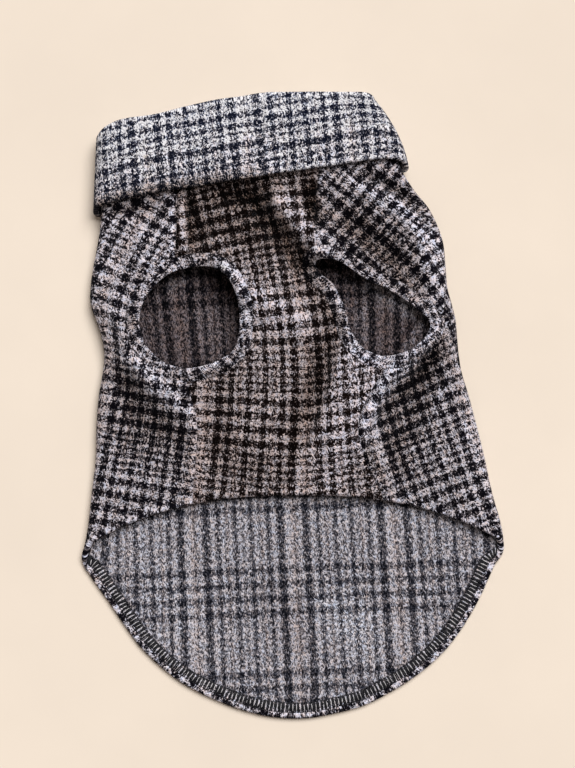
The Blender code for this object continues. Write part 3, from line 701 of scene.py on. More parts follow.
class NodeSketch:
    """Adds nodes to one new material and joins them up."""

    def __init__(self, name: str) -> None:
        """Makes the material, with its own shader and output."""
        self.material = bpy.data.materials.new(name)
        self.material.use_nodes = True
        self.tree = self.material.node_tree
        self.shader = self.tree.nodes["Principled BSDF"]

    def put(self, socket: Any, value: Any) -> None:
        """Joins a socket to an output, or gives it a plain value."""
        if isinstance(value, bpy.types.NodeSocket):
            self.tree.links.new(value, socket)
        elif value is not None:
            socket.default_value = value

    def finish(self, **values: Any) -> Material:
        """Gives the shader's own sockets their values, and returns the material.

        Args:
            values: The values, by the sockets' names in small letters with low lines for the spaces.

        Returns:
            The material.
        """
        sockets = {socket.name.lower().replace(" ", "_"): socket for socket in self.shader.inputs}
        for name, value in values.items():
            self.put(sockets[name], value)
        return self.material

    def math(self, operation: str, a: Any, b: Any = None, clamp: bool = False) -> Any:
        """The result of one sum on one or two numbers."""
        node = self.tree.nodes.new("ShaderNodeMath")
        node.operation, node.use_clamp = operation, clamp
        self.put(node.inputs[0], a)
        self.put(node.inputs[1], b)
        return node.outputs[0]

    def plus(self, a: Any, b: Any, clamp: bool = False) -> Any:
        """Two numbers added, and held between 0 and 1 if clamp is given."""
        return self.math("ADD", a, b, clamp)

    def times(self, a: Any, b: Any, clamp: bool = False) -> Any:
        """Two numbers multiplied, and held between 0 and 1 if clamp is given."""
        return self.math("MULTIPLY", a, b, clamp)

    def around(self, cloud: Any, reach: float) -> Any:
        """A noise brought round 0 and scaled."""
        return self.times(self.math("SUBTRACT", cloud, 0.5), reach)

    def vector(self, *parts: Any) -> Any:
        """A vector of two or three numbers."""
        node = self.tree.nodes.new("ShaderNodeCombineXYZ")
        for socket, part in zip(node.inputs, parts):
            self.put(socket, part)
        return node.outputs[0]

    def place(self) -> Any:
        """The place on the object."""
        return self.tree.nodes.new("ShaderNodeTexCoord").outputs["Object"]

    def noise(self, vector: Any, cloud: Cloud) -> Any:
        """The level of a cloud at each vector."""
        node = self.tree.nodes.new("ShaderNodeTexNoise")
        self.put(node.inputs["Vector"], vector)
        for name, value in zip(("Scale", "Detail", "Roughness", "Distortion"), cloud):
            node.inputs[name].default_value = value
        return node.outputs[0]

    def ramp(self, at: Any, stops: Sequence[tuple[float, Colour | float]]) -> Any:
        """A colour read from a row of colour stops, or of tones.

        Args:
            at: Where to read it.
            stops: The places of the stops, with a colour or a tone each.

        Returns:
            The colour's socket.
        """
        node = self.tree.nodes.new("ShaderNodeValToRGB")
        marks = node.color_ramp.elements
        while len(marks) < len(stops):
            marks.new(1.0)
        for mark, (place, colour) in zip(marks, stops):
            mark.position = place
            mark.color = (*colour, 1.0) if isinstance(colour, tuple) else (colour, colour, colour, 1.0)
        self.put(node.inputs[0], at)
        return node.outputs[0]

    def mix(self, share: Any, a: Any, b: Any, blend: str = "MIX") -> Any:
        """One colour mixed into another."""
        node = self.tree.nodes.new("ShaderNodeMix")
        node.data_type, node.blend_type = "RGBA", blend
        self.put(node.inputs[0], share)
        for socket, value in ((node.inputs[6], a), (node.inputs[7], b)):
            self.put(socket, (*value, 1.0) if isinstance(value, tuple) else value)
        return node.outputs[2]

    def cast(self, share: Any, colour: Any, hue: Any) -> Any:
        """A colour multiplied by a hue, as far as the share says."""
        return self.mix(share, colour, self.mix(1.0, colour, hue, "MULTIPLY"))

    def bump(self, height: Any, strength: float, distance: float) -> None:
        """Roughens the surface by a height."""
        node = self.tree.nodes.new("ShaderNodeBump")
        node.inputs["Strength"].default_value = strength
        node.inputs["Distance"].default_value = distance
        self.put(node.inputs["Height"], height)
        self.put(self.shader.inputs["Normal"], node.outputs[0])


def stripe_stops(lines: Sequence[Line], edge: float, pin: float | None = None,
                 faint: float = 0.0) -> list[tuple[float, float]]:
    """The tones of a ramp over one repeat: dark at each line and light between them.

    Args:
        lines: The dark lines, rising along the repeat.
        edge: The width over which a line's edge blurs.
        pin: The tone of the pin stripe down the middle of a wide light gap, if it has one.
        faint: The tone of the narrow lines.

    Returns:
        The stops, rising from 0 to 1.
    """
    stops = []
    for n, line in enumerate(lines):
        following = lines[(n + 1) % len(lines)]
        half = max(0.0, line.width - edge) / 2
        tone = faint if line.width < FINE_LINE else 0.0
        stops += [(line.middle + side * half, tone) for side in ((-1, 1) if half > FLAT_LINE else (0,))]
        start = line.middle + (line.width + edge) / 2
        end = start + (following.middle - line.middle) % REPEAT - (line.width + following.width) / 2 - edge
        stops += [(start, 1.0), (end, 1.0)] if end - start > FLAT_GAP else [((start + end) / 2, 1.0)]
        if pin is not None and end - start > PIN_GAP:
            stops.append(((start + end) / 2, pin))
    return sorted((place % REPEAT / REPEAT, tone) for place, tone in stops)


@dataclass(frozen=True)
class WoolFinish:
    """Brushed wool flannel in a woven check, seen from one of its faces."""

    side: ClothSide
    weave: Weave = Weave.BODY
    dark: Colour = (0.006, 0.004, 0.005)
    dusk: Colour = (0.044, 0.035, 0.039)
    middle: Colour = (0.165, 0.150, 0.154)
    light: Colour = (0.490, 0.465, 0.462)
    pale: Colour = (1.220, 1.190, 1.190)
    levels: tuple[float, ...] = (0.10, 0.28, 0.46, 0.65, 0.82)
    tint: Colour = (1.0, 1.0, 1.0)
    low: float = -0.13
    reach: float = 1.09
    nap: float = 1.95
    nap_depth: float = 0.8
    comb: float = 0.36
    bend: float = 4.0
    lean_shift: float = 3.7
    hair_middle: float = 0.08
    hair_reach: float = 1.4
    tuft_reach: float = 0.36
    sheen: float = 0.04
    sheen_tint: tuple[float, ...] = (0.82, 0.88, 1.0, 1.0)
    fawn: Colour = (1.0, 0.87, 0.78)
    fawn_most: float = 0.35
    worn: Colour = (0.66, 0.62, 0.62)
    wear: float = 0.5
    # Painted light and shade: how strongly the painted-light attribute darkens or brightens each channel, the
    # palest it paints, and how far it shifts the tone, up to a limit
    shade: Colour = (0.105, 0.120, 0.135)
    palest: Colour = (1.30, 1.36, 1.44)
    lift: float = 0.040
    lift_limit: float = 1.2

    def material(self) -> Material:
        """The finish as a material."""
        sketch = NodeSketch(f"{SLOT}_{self.side.name}_{self.weave.name}_{round(self.tint[1] * 100)}".lower())
        cloth = sketch.tree.nodes.new("ShaderNodeUVMap")
        cloth.uv_map = CLOTH_MAP
        flat = cloth.outputs[0]
        split = sketch.tree.nodes.new("ShaderNodeSeparateXYZ")
        sketch.put(split.inputs[0], flat)
        across, along = split.outputs[0], split.outputs[1]
        loose = sketch.noise(flat, ACROSS_CLOUD)
        attribute = sketch.tree.nodes.new("ShaderNodeAttribute")
        attribute.attribute_name = self.side.value.attribute
        rise = attribute.outputs["Fac"]
        hairs = self.hairs(sketch, across, along)
        tone = sketch.plus(sketch.times(self.check(sketch, across, along, loose), self.reach), self.low)
        # Painted light and shade shift the tone: lighter on ridges, darker in hollows
        tone = sketch.plus(tone, sketch.times(sketch.math("MINIMUM", rise, self.lift_limit), self.lift))
        tone = sketch.plus(tone, sketch.around(hairs, self.nap), clamp=True)
        shades = (self.dark, self.dusk, self.middle, self.light, self.pale)
        tinted = [tuple(part * tint for part, tint in zip(shade, self.tint)) for shade in shades]
        colour = sketch.ramp(tone, list(zip(self.levels, tinted)))
        colour = sketch.cast(self.fawn_share(sketch, across, loose), colour, self.fawn)
        for hue in HUES:
            share = sketch.ramp(sketch.noise(flat, hue.cloud), [(hue.low, 0.0), (hue.high, 1.0)])
            colour = sketch.cast(share, colour, hue.colour)
        colour = sketch.cast(sketch.times(sketch.noise(flat, WEAR_CLOUD), self.wear), colour, self.worn)
        # Painted shade in hollows and under things, painted highlight on ridges, bluer where lit and browner
        # where shaded
        colour = sketch.mix(1.0, colour, self.shading(sketch, rise), "MULTIPLY")
        sketch.bump(hairs, 1.0, self.nap_depth * MM)
        return sketch.finish(
            base_color=sketch.mix(1.0, colour, MOST_WHITE, "DARKEN"),
            roughness=0.95, specular_ior_level=0.02,
            sheen_weight=self.sheen, sheen_roughness=0.4, sheen_tint=self.sheen_tint)

    def check(self, sketch: NodeSketch, across: Any, along: Any, loose: Any) -> Any:
        """The tone of the woven check: dark where lines of the warp and the weft cross.

        Args:
            sketch: The material in the making.
            across: The place over the warp, in repeats.
            along: The place over the weft, in repeats.
            loose: How far the warp's yarns wander.

        Returns:
            The tone's socket.
        """
        face = self.side.value
        other = sketch.noise(sketch.vector(along, across), ALONG_CLOUD)
        u, v = (
            sketch.math("FRACT", sketch.plus(place, sketch.around(cloud, face.wander / REPEAT)))
            for place, cloud in ((across, loose), (along, other))
        )
        warp = sketch.ramp(u, stripe_stops(WARP, face.edge, PIN_TONE))
        weft = sketch.ramp(v, stripe_stops(self.weave.value, face.edge, faint=face.faint))
        return sketch.plus(sketch.times(warp, face.warp), sketch.times(weft, 1 - face.warp))

    def shading(self, sketch: NodeSketch, rise: Any) -> Any:
        """Painted highlight where the painted-light attribute is above 0, and painted shade where it is
        below.
        """
        return sketch.vector(*(
            sketch.math("MINIMUM", sketch.math("EXPONENT", sketch.times(rise, strength)), most)
            for strength, most in zip(self.shade, self.palest)
        ))

    def hairs(self, sketch: NodeSketch, across: Any, along: Any) -> Any:
        """The brushed nap: fine hairs that run along the warp and lean to either side, and some over them.

        Args:
            sketch: The material in the making.
            across: The place over the warp, in repeats.
            along: The place over the weft, in repeats.

        Returns:
            The socket of how much nap there is, even at a half.
        """
        bend = sketch.around(sketch.noise(sketch.vector(across, along), BEND_CLOUD), self.bend / REPEAT)
        combed = sketch.times(along, self.comb)
        ways = (
            sketch.vector(sketch.plus(across, bend), combed),
            sketch.vector(sketch.math("SUBTRACT", across, bend), sketch.plus(combed, self.lean_shift)),
            sketch.vector(sketch.times(across, self.comb), sketch.plus(along, bend)),
        )
        down, beside, over = (sketch.noise(way, HAIR_CLOUD) for way in ways)
        nearest = sketch.math("SUBTRACT", sketch.math("MAXIMUM", down, beside), self.hair_middle)
        tufts = sketch.noise(sketch.vector(across, along), TUFT_CLOUD)
        crossing = sketch.around(over, self.side.value.crossing)
        both = sketch.plus(sketch.around(nearest, self.hair_reach), crossing)
        return sketch.plus(sketch.plus(both, sketch.around(tufts, self.tuft_reach)), 0.5)

    def fawn_share(self, sketch: NodeSketch, across: Any, loose: Any) -> Any:
        """How much of the cloth's colour is the fawn yarn's, strongest down the light stripe."""
        line = sketch.ramp(sketch.math("FRACT", across), FAWN)
        return sketch.times(line, sketch.plus(loose, self.fawn_most), clamp=True)


@dataclass(frozen=True)
class ThreadFinish:
    """Spun sewing thread."""

    name: str
    colour: Colour
    roughness: float = 0.45
    palest: float = 0.85
    gain: float = 2.2
    haze: float = 0.01
    twist_strength: float = 0.4
    twist_depth: float = 0.1

    def material(self) -> Material:
        """The finish as a material."""
        sketch = NodeSketch(self.name)
        twist = sketch.noise(sketch.place(), THREAD_CLOUD)
        pale = tuple(min(self.palest, part * self.gain + self.haze) for part in self.colour)
        colour = sketch.ramp(twist, [(0.35, self.colour), (0.75, pale)])
        sketch.bump(twist, self.twist_strength, self.twist_depth * MM)
        return sketch.finish(base_color=colour, roughness=self.roughness, specular_ior_level=0.15)


@dataclass
class Thread:
    """Lengths of thread as thin flattened tubes, all gathered in one piece."""

    name: str
    sides: int = 5
    tip: float = 0.45
    verts: list[Array] = field(default_factory=list)
    faces: list[tuple[int, ...]] = field(default_factory=list)
    count: int = 0

    def strand(self, path: Array, radius: float, up: Array, flat: float) -> None:
        """Adds one closed length of thread.

        Args:
            path: Its places, in millimetres.
            radius: Its radius across.
            up: The way its flat side faces.
            flat: Its thickness, as a share of its width.
        """
        along = unit(np.gradient(path, axis=0))
        across = unit(np.cross(along, np.broadcast_to(up, path.shape)))
        out = unit(np.cross(across, along))
        turn = math.tau * np.arange(self.sides) / self.sides
        taper = np.ones(len(path))
        taper[[0, -1]] = self.tip
        level, high = (part[None, :, None] for part in (np.cos(turn), np.sin(turn) * flat))
        ring = across[:, None] * level + out[:, None] * high
        self.verts.append((path[:, None] + ring * radius * taper[:, None, None]).reshape(-1, 3))
        n = self.sides
        for i in range(len(path) - 1):
            for k in range(n):
                a, b = self.count + i * n + k, self.count + i * n + (k + 1) % n
                self.faces.append((a, b, b + n, a + n))
        self.faces.append(tuple(self.count + k for k in reversed(range(n))))
        self.faces.append(tuple(self.count + (len(path) - 1) * n + k for k in range(n)))
        self.count += len(path) * n

    def build(self, finish: Material) -> Thing:
        """Makes the gathered thread.

        Args:
            finish: The thread's material.

        Returns:
            The object.
        """
        mesh = bpy.data.meshes.new(self.name)
        mesh.from_pydata([tuple(v) for v in np.concatenate(self.verts) * MM], [], self.faces)
        bm = bmesh.new()
        bm.from_mesh(mesh)
        bpy.data.meshes.remove(mesh)
        thing = object_from(self.name, bm, [finish], turn_out=True)
        show(thing, [])
        return thing


def turn_at(lays: Sequence[Lay], x: Array, y: Array) -> Array:
    """The clockwise turn of the check at places on the belly side, in radians."""
    total, weight = np.zeros(x.shape), np.full(x.shape, TINY)
    for lay in lays:
        say = np.exp(-((x - lay.x) ** 2 + (y - lay.y) ** 2) / (2 * LAY_REACH**2)) + LEAST_SAY
        total += say * lay.turn
        weight += say
    return np.radians(total / weight)


@dataclass
class CheckLay:
    """Lays the flat check over a grid, turned as it lies at each place and as little stretched as the
    folds allow."""

    rounds: int = 400
    near_enough: float = 1e-7
    shortest: float = 0.3

    def settle(self, steps_i: Array, steps_j: Array, weight_i: Array, weight_j: Array) -> Array:
        """Finds the values whose differences along the grid's two ways are nearest to the wanted ones.

        Args:
            steps_i: The wanted differences between columns.
            steps_j: The wanted differences between rows.
            weight_i: How much each of the first counts.
            weight_j: How much each of the second counts.

        Returns:
            A value for each place of the grid, the first being 0.
        """

        def gathered(across: Array, up: Array) -> Array:
            """Weighted differences, gathered back on the places at both their ends."""
            out = np.zeros((across.shape[0] + 1, across.shape[1]))
            across, up = weight_i * across, weight_j * up
            out[1:] += across
            out[:-1] -= across
            out[:, 1:] += up
            out[:, :-1] -= up
            return out

        rest = gathered(steps_i, steps_j)
        values = np.zeros_like(rest)
        values[:, 1:] += np.cumsum(steps_j, 1)
        values[1:] += np.cumsum(steps_i.mean(1))[:, None]
        scale = np.full_like(rest, TINY)
        scale[:-1] += weight_i
        scale[1:] += weight_i
        scale[:, :-1] += weight_j
        scale[:, 1:] += weight_j
        rest -= gathered(np.diff(values, axis=0), np.diff(values, axis=1))
        eased = rest / scale
        way = eased.copy()
        power = (rest * eased).sum()
        for _ in range(self.rounds):
            pushed = gathered(np.diff(way, axis=0), np.diff(way, axis=1))
            step = power / max((way * pushed).sum(), TINY)
            values += step * way
            rest -= step * pushed
            eased = rest / scale
            before, power = power, (rest * eased).sum()
            if power < self.near_enough:
                break
            way = eased + way * power / before
        return values - values[0, 0]

    def lay(self, moves_i: Array, moves_j: Array, turn: Array) -> Array:
        """Places on the flat cloth for each place of a grid.

        Args:
            moves_i: For each step between columns, how far it goes across and up on the laid cloth.
            moves_j: The same for each step between rows.
            turn: The check's turn at each place of the grid.

        Returns:
            The places across the warp and down it, in millimetres.
        """
        turns = ((turn[1:] + turn[:-1]) / 2, (turn[:, 1:] + turn[:, :-1]) / 2)
        moves = (moves_i, moves_j)
        weights = [1 / np.maximum(np.linalg.norm(move, axis=-1), self.shortest) for move in moves]
        across = [np.cos(a) * move[..., 0] - np.sin(a) * move[..., 1] for move, a in zip(moves, turns)]
        down = [-np.sin(a) * move[..., 0] - np.cos(a) * move[..., 1] for move, a in zip(moves, turns)]
        return np.stack([self.settle(*across, *weights), self.settle(*down, *weights)], -1)


def show(thing: Thing, replaced: Sequence[str]) -> None:
    """Rides a finished piece on the body, hides the parts that it stands for, and logs its size."""
    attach(thing, BODY)
    if replaced:
        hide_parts(*replaced)
    LOG.info("%s: %d faces", thing.name, len(thing.data.polygons))


def object_from(name: str, bm: bmesh.types.BMesh, materials: Sequence[Material],
                turn_out: bool = False) -> Thing:
    """A smooth-shaded object in the scene from a bmesh, in metres.

    Args:
        name: The object's name.
        bm: The mesh, which is freed.
        materials: Its materials, in order.
        turn_out: True turns all its faces outwards first.

    Returns:
        The new object.
    """
    if turn_out:
        bmesh.ops.recalc_face_normals(bm, faces=bm.faces)
    mesh = bpy.data.meshes.new(name)
    bm.to_mesh(mesh)
    bm.free()
    mesh.shade_smooth()
    for material in materials:
        mesh.materials.append(material)
    thing = bpy.data.objects.new(name, mesh)
    bpy.context.scene.collection.objects.link(thing)
    return thing


@dataclass
class ClothGrid:
    """A sheet of cloth as a grid of places, with the places of the flat cloth for its check.

    The rise is the painted light and shade of the right side, and within the same for the wrong side.
    """

    points: Array
    cloth: Array
    rise: Array
    within: Array | None = None
    same_place: float = 0.002

    def bmesh(self, drop: Array | None = None, close: bool = False) -> bmesh.types.BMesh:
        """The sheet as a bmesh in metres, with the check's places as its map.

        Args:
            drop: True for each place in a hole. A face with only such places is left out.
            close: True if the last column lies on the first, or the last row on the first.

        Returns:
            The bmesh.
        """
        columns, rows = self.points.shape[:2]
        bm = bmesh.new()
        bmesh.ops.create_grid(bm, x_segments=columns - 1, y_segments=rows - 1, size=1.0)
        layer = bm.loops.layers.uv.new(CLOTH_MAP)
        rise, within = (bm.verts.layers.float.new(name) for name in (PAINTED_LIGHT_RIGHT_SIDE, PAINTED_LIGHT_WRONG_SIDE))
        places, flat = self.points * MM, self.cloth / REPEAT
        inner = self.rise if self.within is None else self.within
        index = {}
        for vert in bm.verts:
            at = (round((vert.co.x + 1) / 2 * (columns - 1)), round((vert.co.y + 1) / 2 * (rows - 1)))
            index[vert.index] = at
            vert.co = places[at]
            vert[rise], vert[within] = self.rise[at], inner[at]
        for face in bm.faces:
            for loop in face.loops:
                loop[layer].uv = flat[index[loop.vert.index]]
        if drop is not None:
            gone = [face for face in bm.faces if all(drop[index[vert.index]] for vert in face.verts)]
            bmesh.ops.delete(bm, geom=gone, context="FACES")
        if close:
            bmesh.ops.remove_doubles(bm, verts=bm.verts, dist=self.same_place * MM)
        return bm

    def declare(self, thing: Thing, held: str, strip: Span | None = None) -> None:
        """Was to state the size that the sheet was cut to, as its check lies flat; it does nothing.

        Args:
            thing: The sheet's object. Not used.
            held: How it is held. Not used.
            strip: The length and the showing width of a doubled strip, in millimetres. Not used.
        """


def thicken(thing: Thing, thickness: float, inner: int, outwards: bool = True) -> None:
    """Gives a sheet its thickness, half to each side.

    Args:
        thing: The sheet.
        thickness: In millimetres.
        inner: How many material slots further on the inner face's finish is.
        outwards: False turns the sheet over first.
    """
    if not outwards:
        thing.data.flip_normals()
    wall = thing.modifiers.new("Wall", "SOLIDIFY")
    wall.thickness = thickness * MM
    wall.offset = 0
    wall.use_even_offset = False
    wall.material_offset = inner


@dataclass
class Hem:
    """A hem turned inwards: a flat ply, a round turn and then the panel, and the line it is sewn on."""

    width: float = 7.0
    turn: float = 0.9
    topstitch: float = 5.6
    ply_rows: int = 7
    turn_rows: int = 6

    def rows(self) -> int:
        """How many rows of a grid the ply and the turn take."""
        return self.ply_rows + self.turn_rows + 1


# The places of a strand over the raw edge as shares of its slant, and their lift. Those of a wool sliver.
# The same for a border's thread, as shares of the pitch, and for a stitch outside, as shares of its length,
# with its lift in millimetres.
OVER_ALONG = np.array([0.0, 0.05, 0.5, 0.95, 1.0])
OVER_LIFT = np.array([-0.12, 1.0, 1.15, 0.95, -3.0])
WOOL_ALONG = np.array([0.0, 0.5, 1.0])
BORDER_ALONG = np.array([-0.48, -0.2, 0.2, 0.48])
BORDER_LIFT = np.array([0.0, 1.0, 1.0, 0.0])
SEWN_ALONG = np.array([-0.5, -0.3, 0.0, 0.3, 0.5])
SEWN_LIFT = np.array([-0.25, 0.02, 0.06, 0.02, -0.25])


@dataclass
class HemSewing:
    """The sewing of a hem: the raw edge overlocked inside, and a line of stitches outside.

    Insets are from the panel's edge. A border is where its thread lies, beside the needle's line or the
    raw edge, and its lift as a share of the strands'. A slant is a middle and a spread.
    """

    hem: Hem
    cloth: float
    pitch: float = 1.9
    needle: float = 2.5
    crown: float = 4.8
    hook: float = 0.35
    lap: float = 0.2
    overhang: float = 0.3
    leg_shift: float = 0.34
    leg_spread: float = 0.06
    slant: Span = (0.1, 0.16)
    wobble: float = 0.07
    straying: float = 0.16
    strand_sizes: Span = (0.85, 1.12)
    strand_flat: float = 0.7
    needle_border: Span = (-0.1, 0.7)
    edge_border: Span = (-0.15, 1.1)
    border_size: float = 0.8
    thread_flat: float = 0.8
    wool_wobble: float = 0.06
    wool_low: Span = (0.3, 1.2)
    wool_high: Span = (0.4, 1.3)
    wool_radius: Span = (0.14, 0.27)
    wool_flat: float = 0.6
    stitch_length: float = 2.3
    stitch_gap: float = 0.5
    stitch_radius: float = 0.2
    lift: float = 0.16
    wool_lift: float = 0.8
    radius: float = 0.33
    seed: int = 11

    def inside(self, thread: Thread, wool: Thread, points: Array) -> None:
        """Overlocks the raw edge of the ply: strands over it, and a line of thread at each border.

        Args:
            thread: The thread to add to.
            wool: The slivers of wool drawn up between the strands, to add to.
            points: The grid of the hemmed panel, or some of its columns.
        """
        rows = self.hem.ply_rows
        ply = points[:, : rows + 1]
        way = unit(ply[:, rows] - points[:, rows + self.hem.turn_rows])
        run = travelled(ply[:, 2])
        step = (self.hem.width - self.hem.turn) / rows

        def at(along: Array, distance: Array, lift: Array) -> Array:
            """Finds places on the turned ply.

            Args:
                along: How far along the hem.
                distance: How far in from its edge.
                lift: How far above the ply's face.

            Returns:
                The places.
            """
            given = (np.atleast_1d(values) for values in (along, distance, lift))
            along, distance, lift = np.broadcast_arrays(*given)
            row = (self.hem.width - distance) / step
            low = np.clip(row.astype(int), 0, rows - 1)
            n = np.arange(len(along))
            place, up = np.empty(along.shape + (3,)), np.empty(along.shape + (3,))
            for axis in range(3):
                lines = np.stack([np.interp(along, run, ply[:, r, axis]) for r in range(rows + 1)])
                place[:, axis] = lines[low, n] + (lines[low + 1, n] - lines[low, n]) * (row - low)
                up[:, axis] = np.interp(along, run, way[:, axis])
            return place + unit(up) * (self.cloth / 2 + lift)[:, None]

        rng = np.random.default_rng(self.seed)
        edge = self.hem.width
        for n in range(int(run[-1] / self.pitch)):
            here = (n + 0.5) * self.pitch
            tilt = rng.normal(*self.slant)
            up = at(here, self.crown, 1.0)[0] - at(here, self.crown, 0.0)[0]
            for leg in (-1, 1):
                wobble, reach = rng.normal(0, self.wobble), rng.normal(0, self.straying)
                along = here + leg * self.leg_shift + wobble + OVER_ALONG * (tilt - leg * self.leg_spread)
                inset = np.array([self.needle, self.needle + self.hook, self.crown, edge - self.lap,
                                  edge + self.overhang + self.lap * reach])
                path = at(along, inset + reach * self.border_size / 2, OVER_LIFT * self.lift)
                thread.strand(path, self.radius * rng.uniform(*self.strand_sizes), up, self.strand_flat)
            between = here + self.pitch / 2 + rng.normal(0, self.wool_wobble) + WOOL_ALONG * tilt
            low, high = self.needle + rng.uniform(*self.wool_low), edge - rng.uniform(*self.wool_high)
            drawn = at(between, np.array([low, (low + high) / 2, high]), self.lift * self.wool_lift)
            wool.strand(drawn, rng.uniform(*self.wool_radius), up, self.wool_flat)
            for line, (shift, lift) in ((self.needle, self.needle_border), (edge, self.edge_border)):
                ends = here + BORDER_ALONG * self.pitch
                inset = line + shift + rng.normal(0, self.wobble, len(ends))
                path = at(ends, inset, BORDER_LIFT * lift * self.lift)
                thread.strand(path, self.radius * self.border_size, up, self.thread_flat)

    def outside(self, thread: Thread, points: Array) -> None:
        """Sews the line of stitches that shows outside, sunk a little in the cloth.

        Args:
            thread: The thread to add to.
            points: The grid of the hemmed panel, or some of its columns.
        """
        start = self.hem.ply_rows + self.hem.turn_rows
        column, up_it = points[:, start:], travelled(points[:, start:], 1) + self.hem.turn
        line = np.array([[np.interp(self.hem.topstitch, up_it[i], column[i, :, axis]) for axis in range(3)]
                         for i in range(len(points))])
        out = unit(points[:, start] - points[:, self.hem.ply_rows])
        line = line + out * self.cloth / 2
        run = travelled(line)
        whole = self.stitch_length + self.stitch_gap
        for n in range(int(run[-1] / whole)):
            ends = (n + 0.5) * whole + SEWN_ALONG * self.stitch_length
            path = np.stack([np.interp(ends, run, line[:, axis]) for axis in range(3)], -1)
            up = out[np.searchsorted(run, ends[2]) - 1]
            path += up * SEWN_LIFT[:, None]
            thread.strand(path, self.stitch_radius, up, self.thread_flat)


class Puff(NamedTuple):
    """How the cloth puffs up beside a line that it is sewn at: how high, how far from it and its reach."""

    height: float
    middle: float
    reach: float

    def over(self, away: Array) -> Array:
        """What it adds at distances from the line."""
        return self.height * bell(away - self.middle, self.reach)


SETTLING = 5  # rounds that find where a column meets a slanting line
FIRST_NECK_Y = 110.0  # where they start for the neck


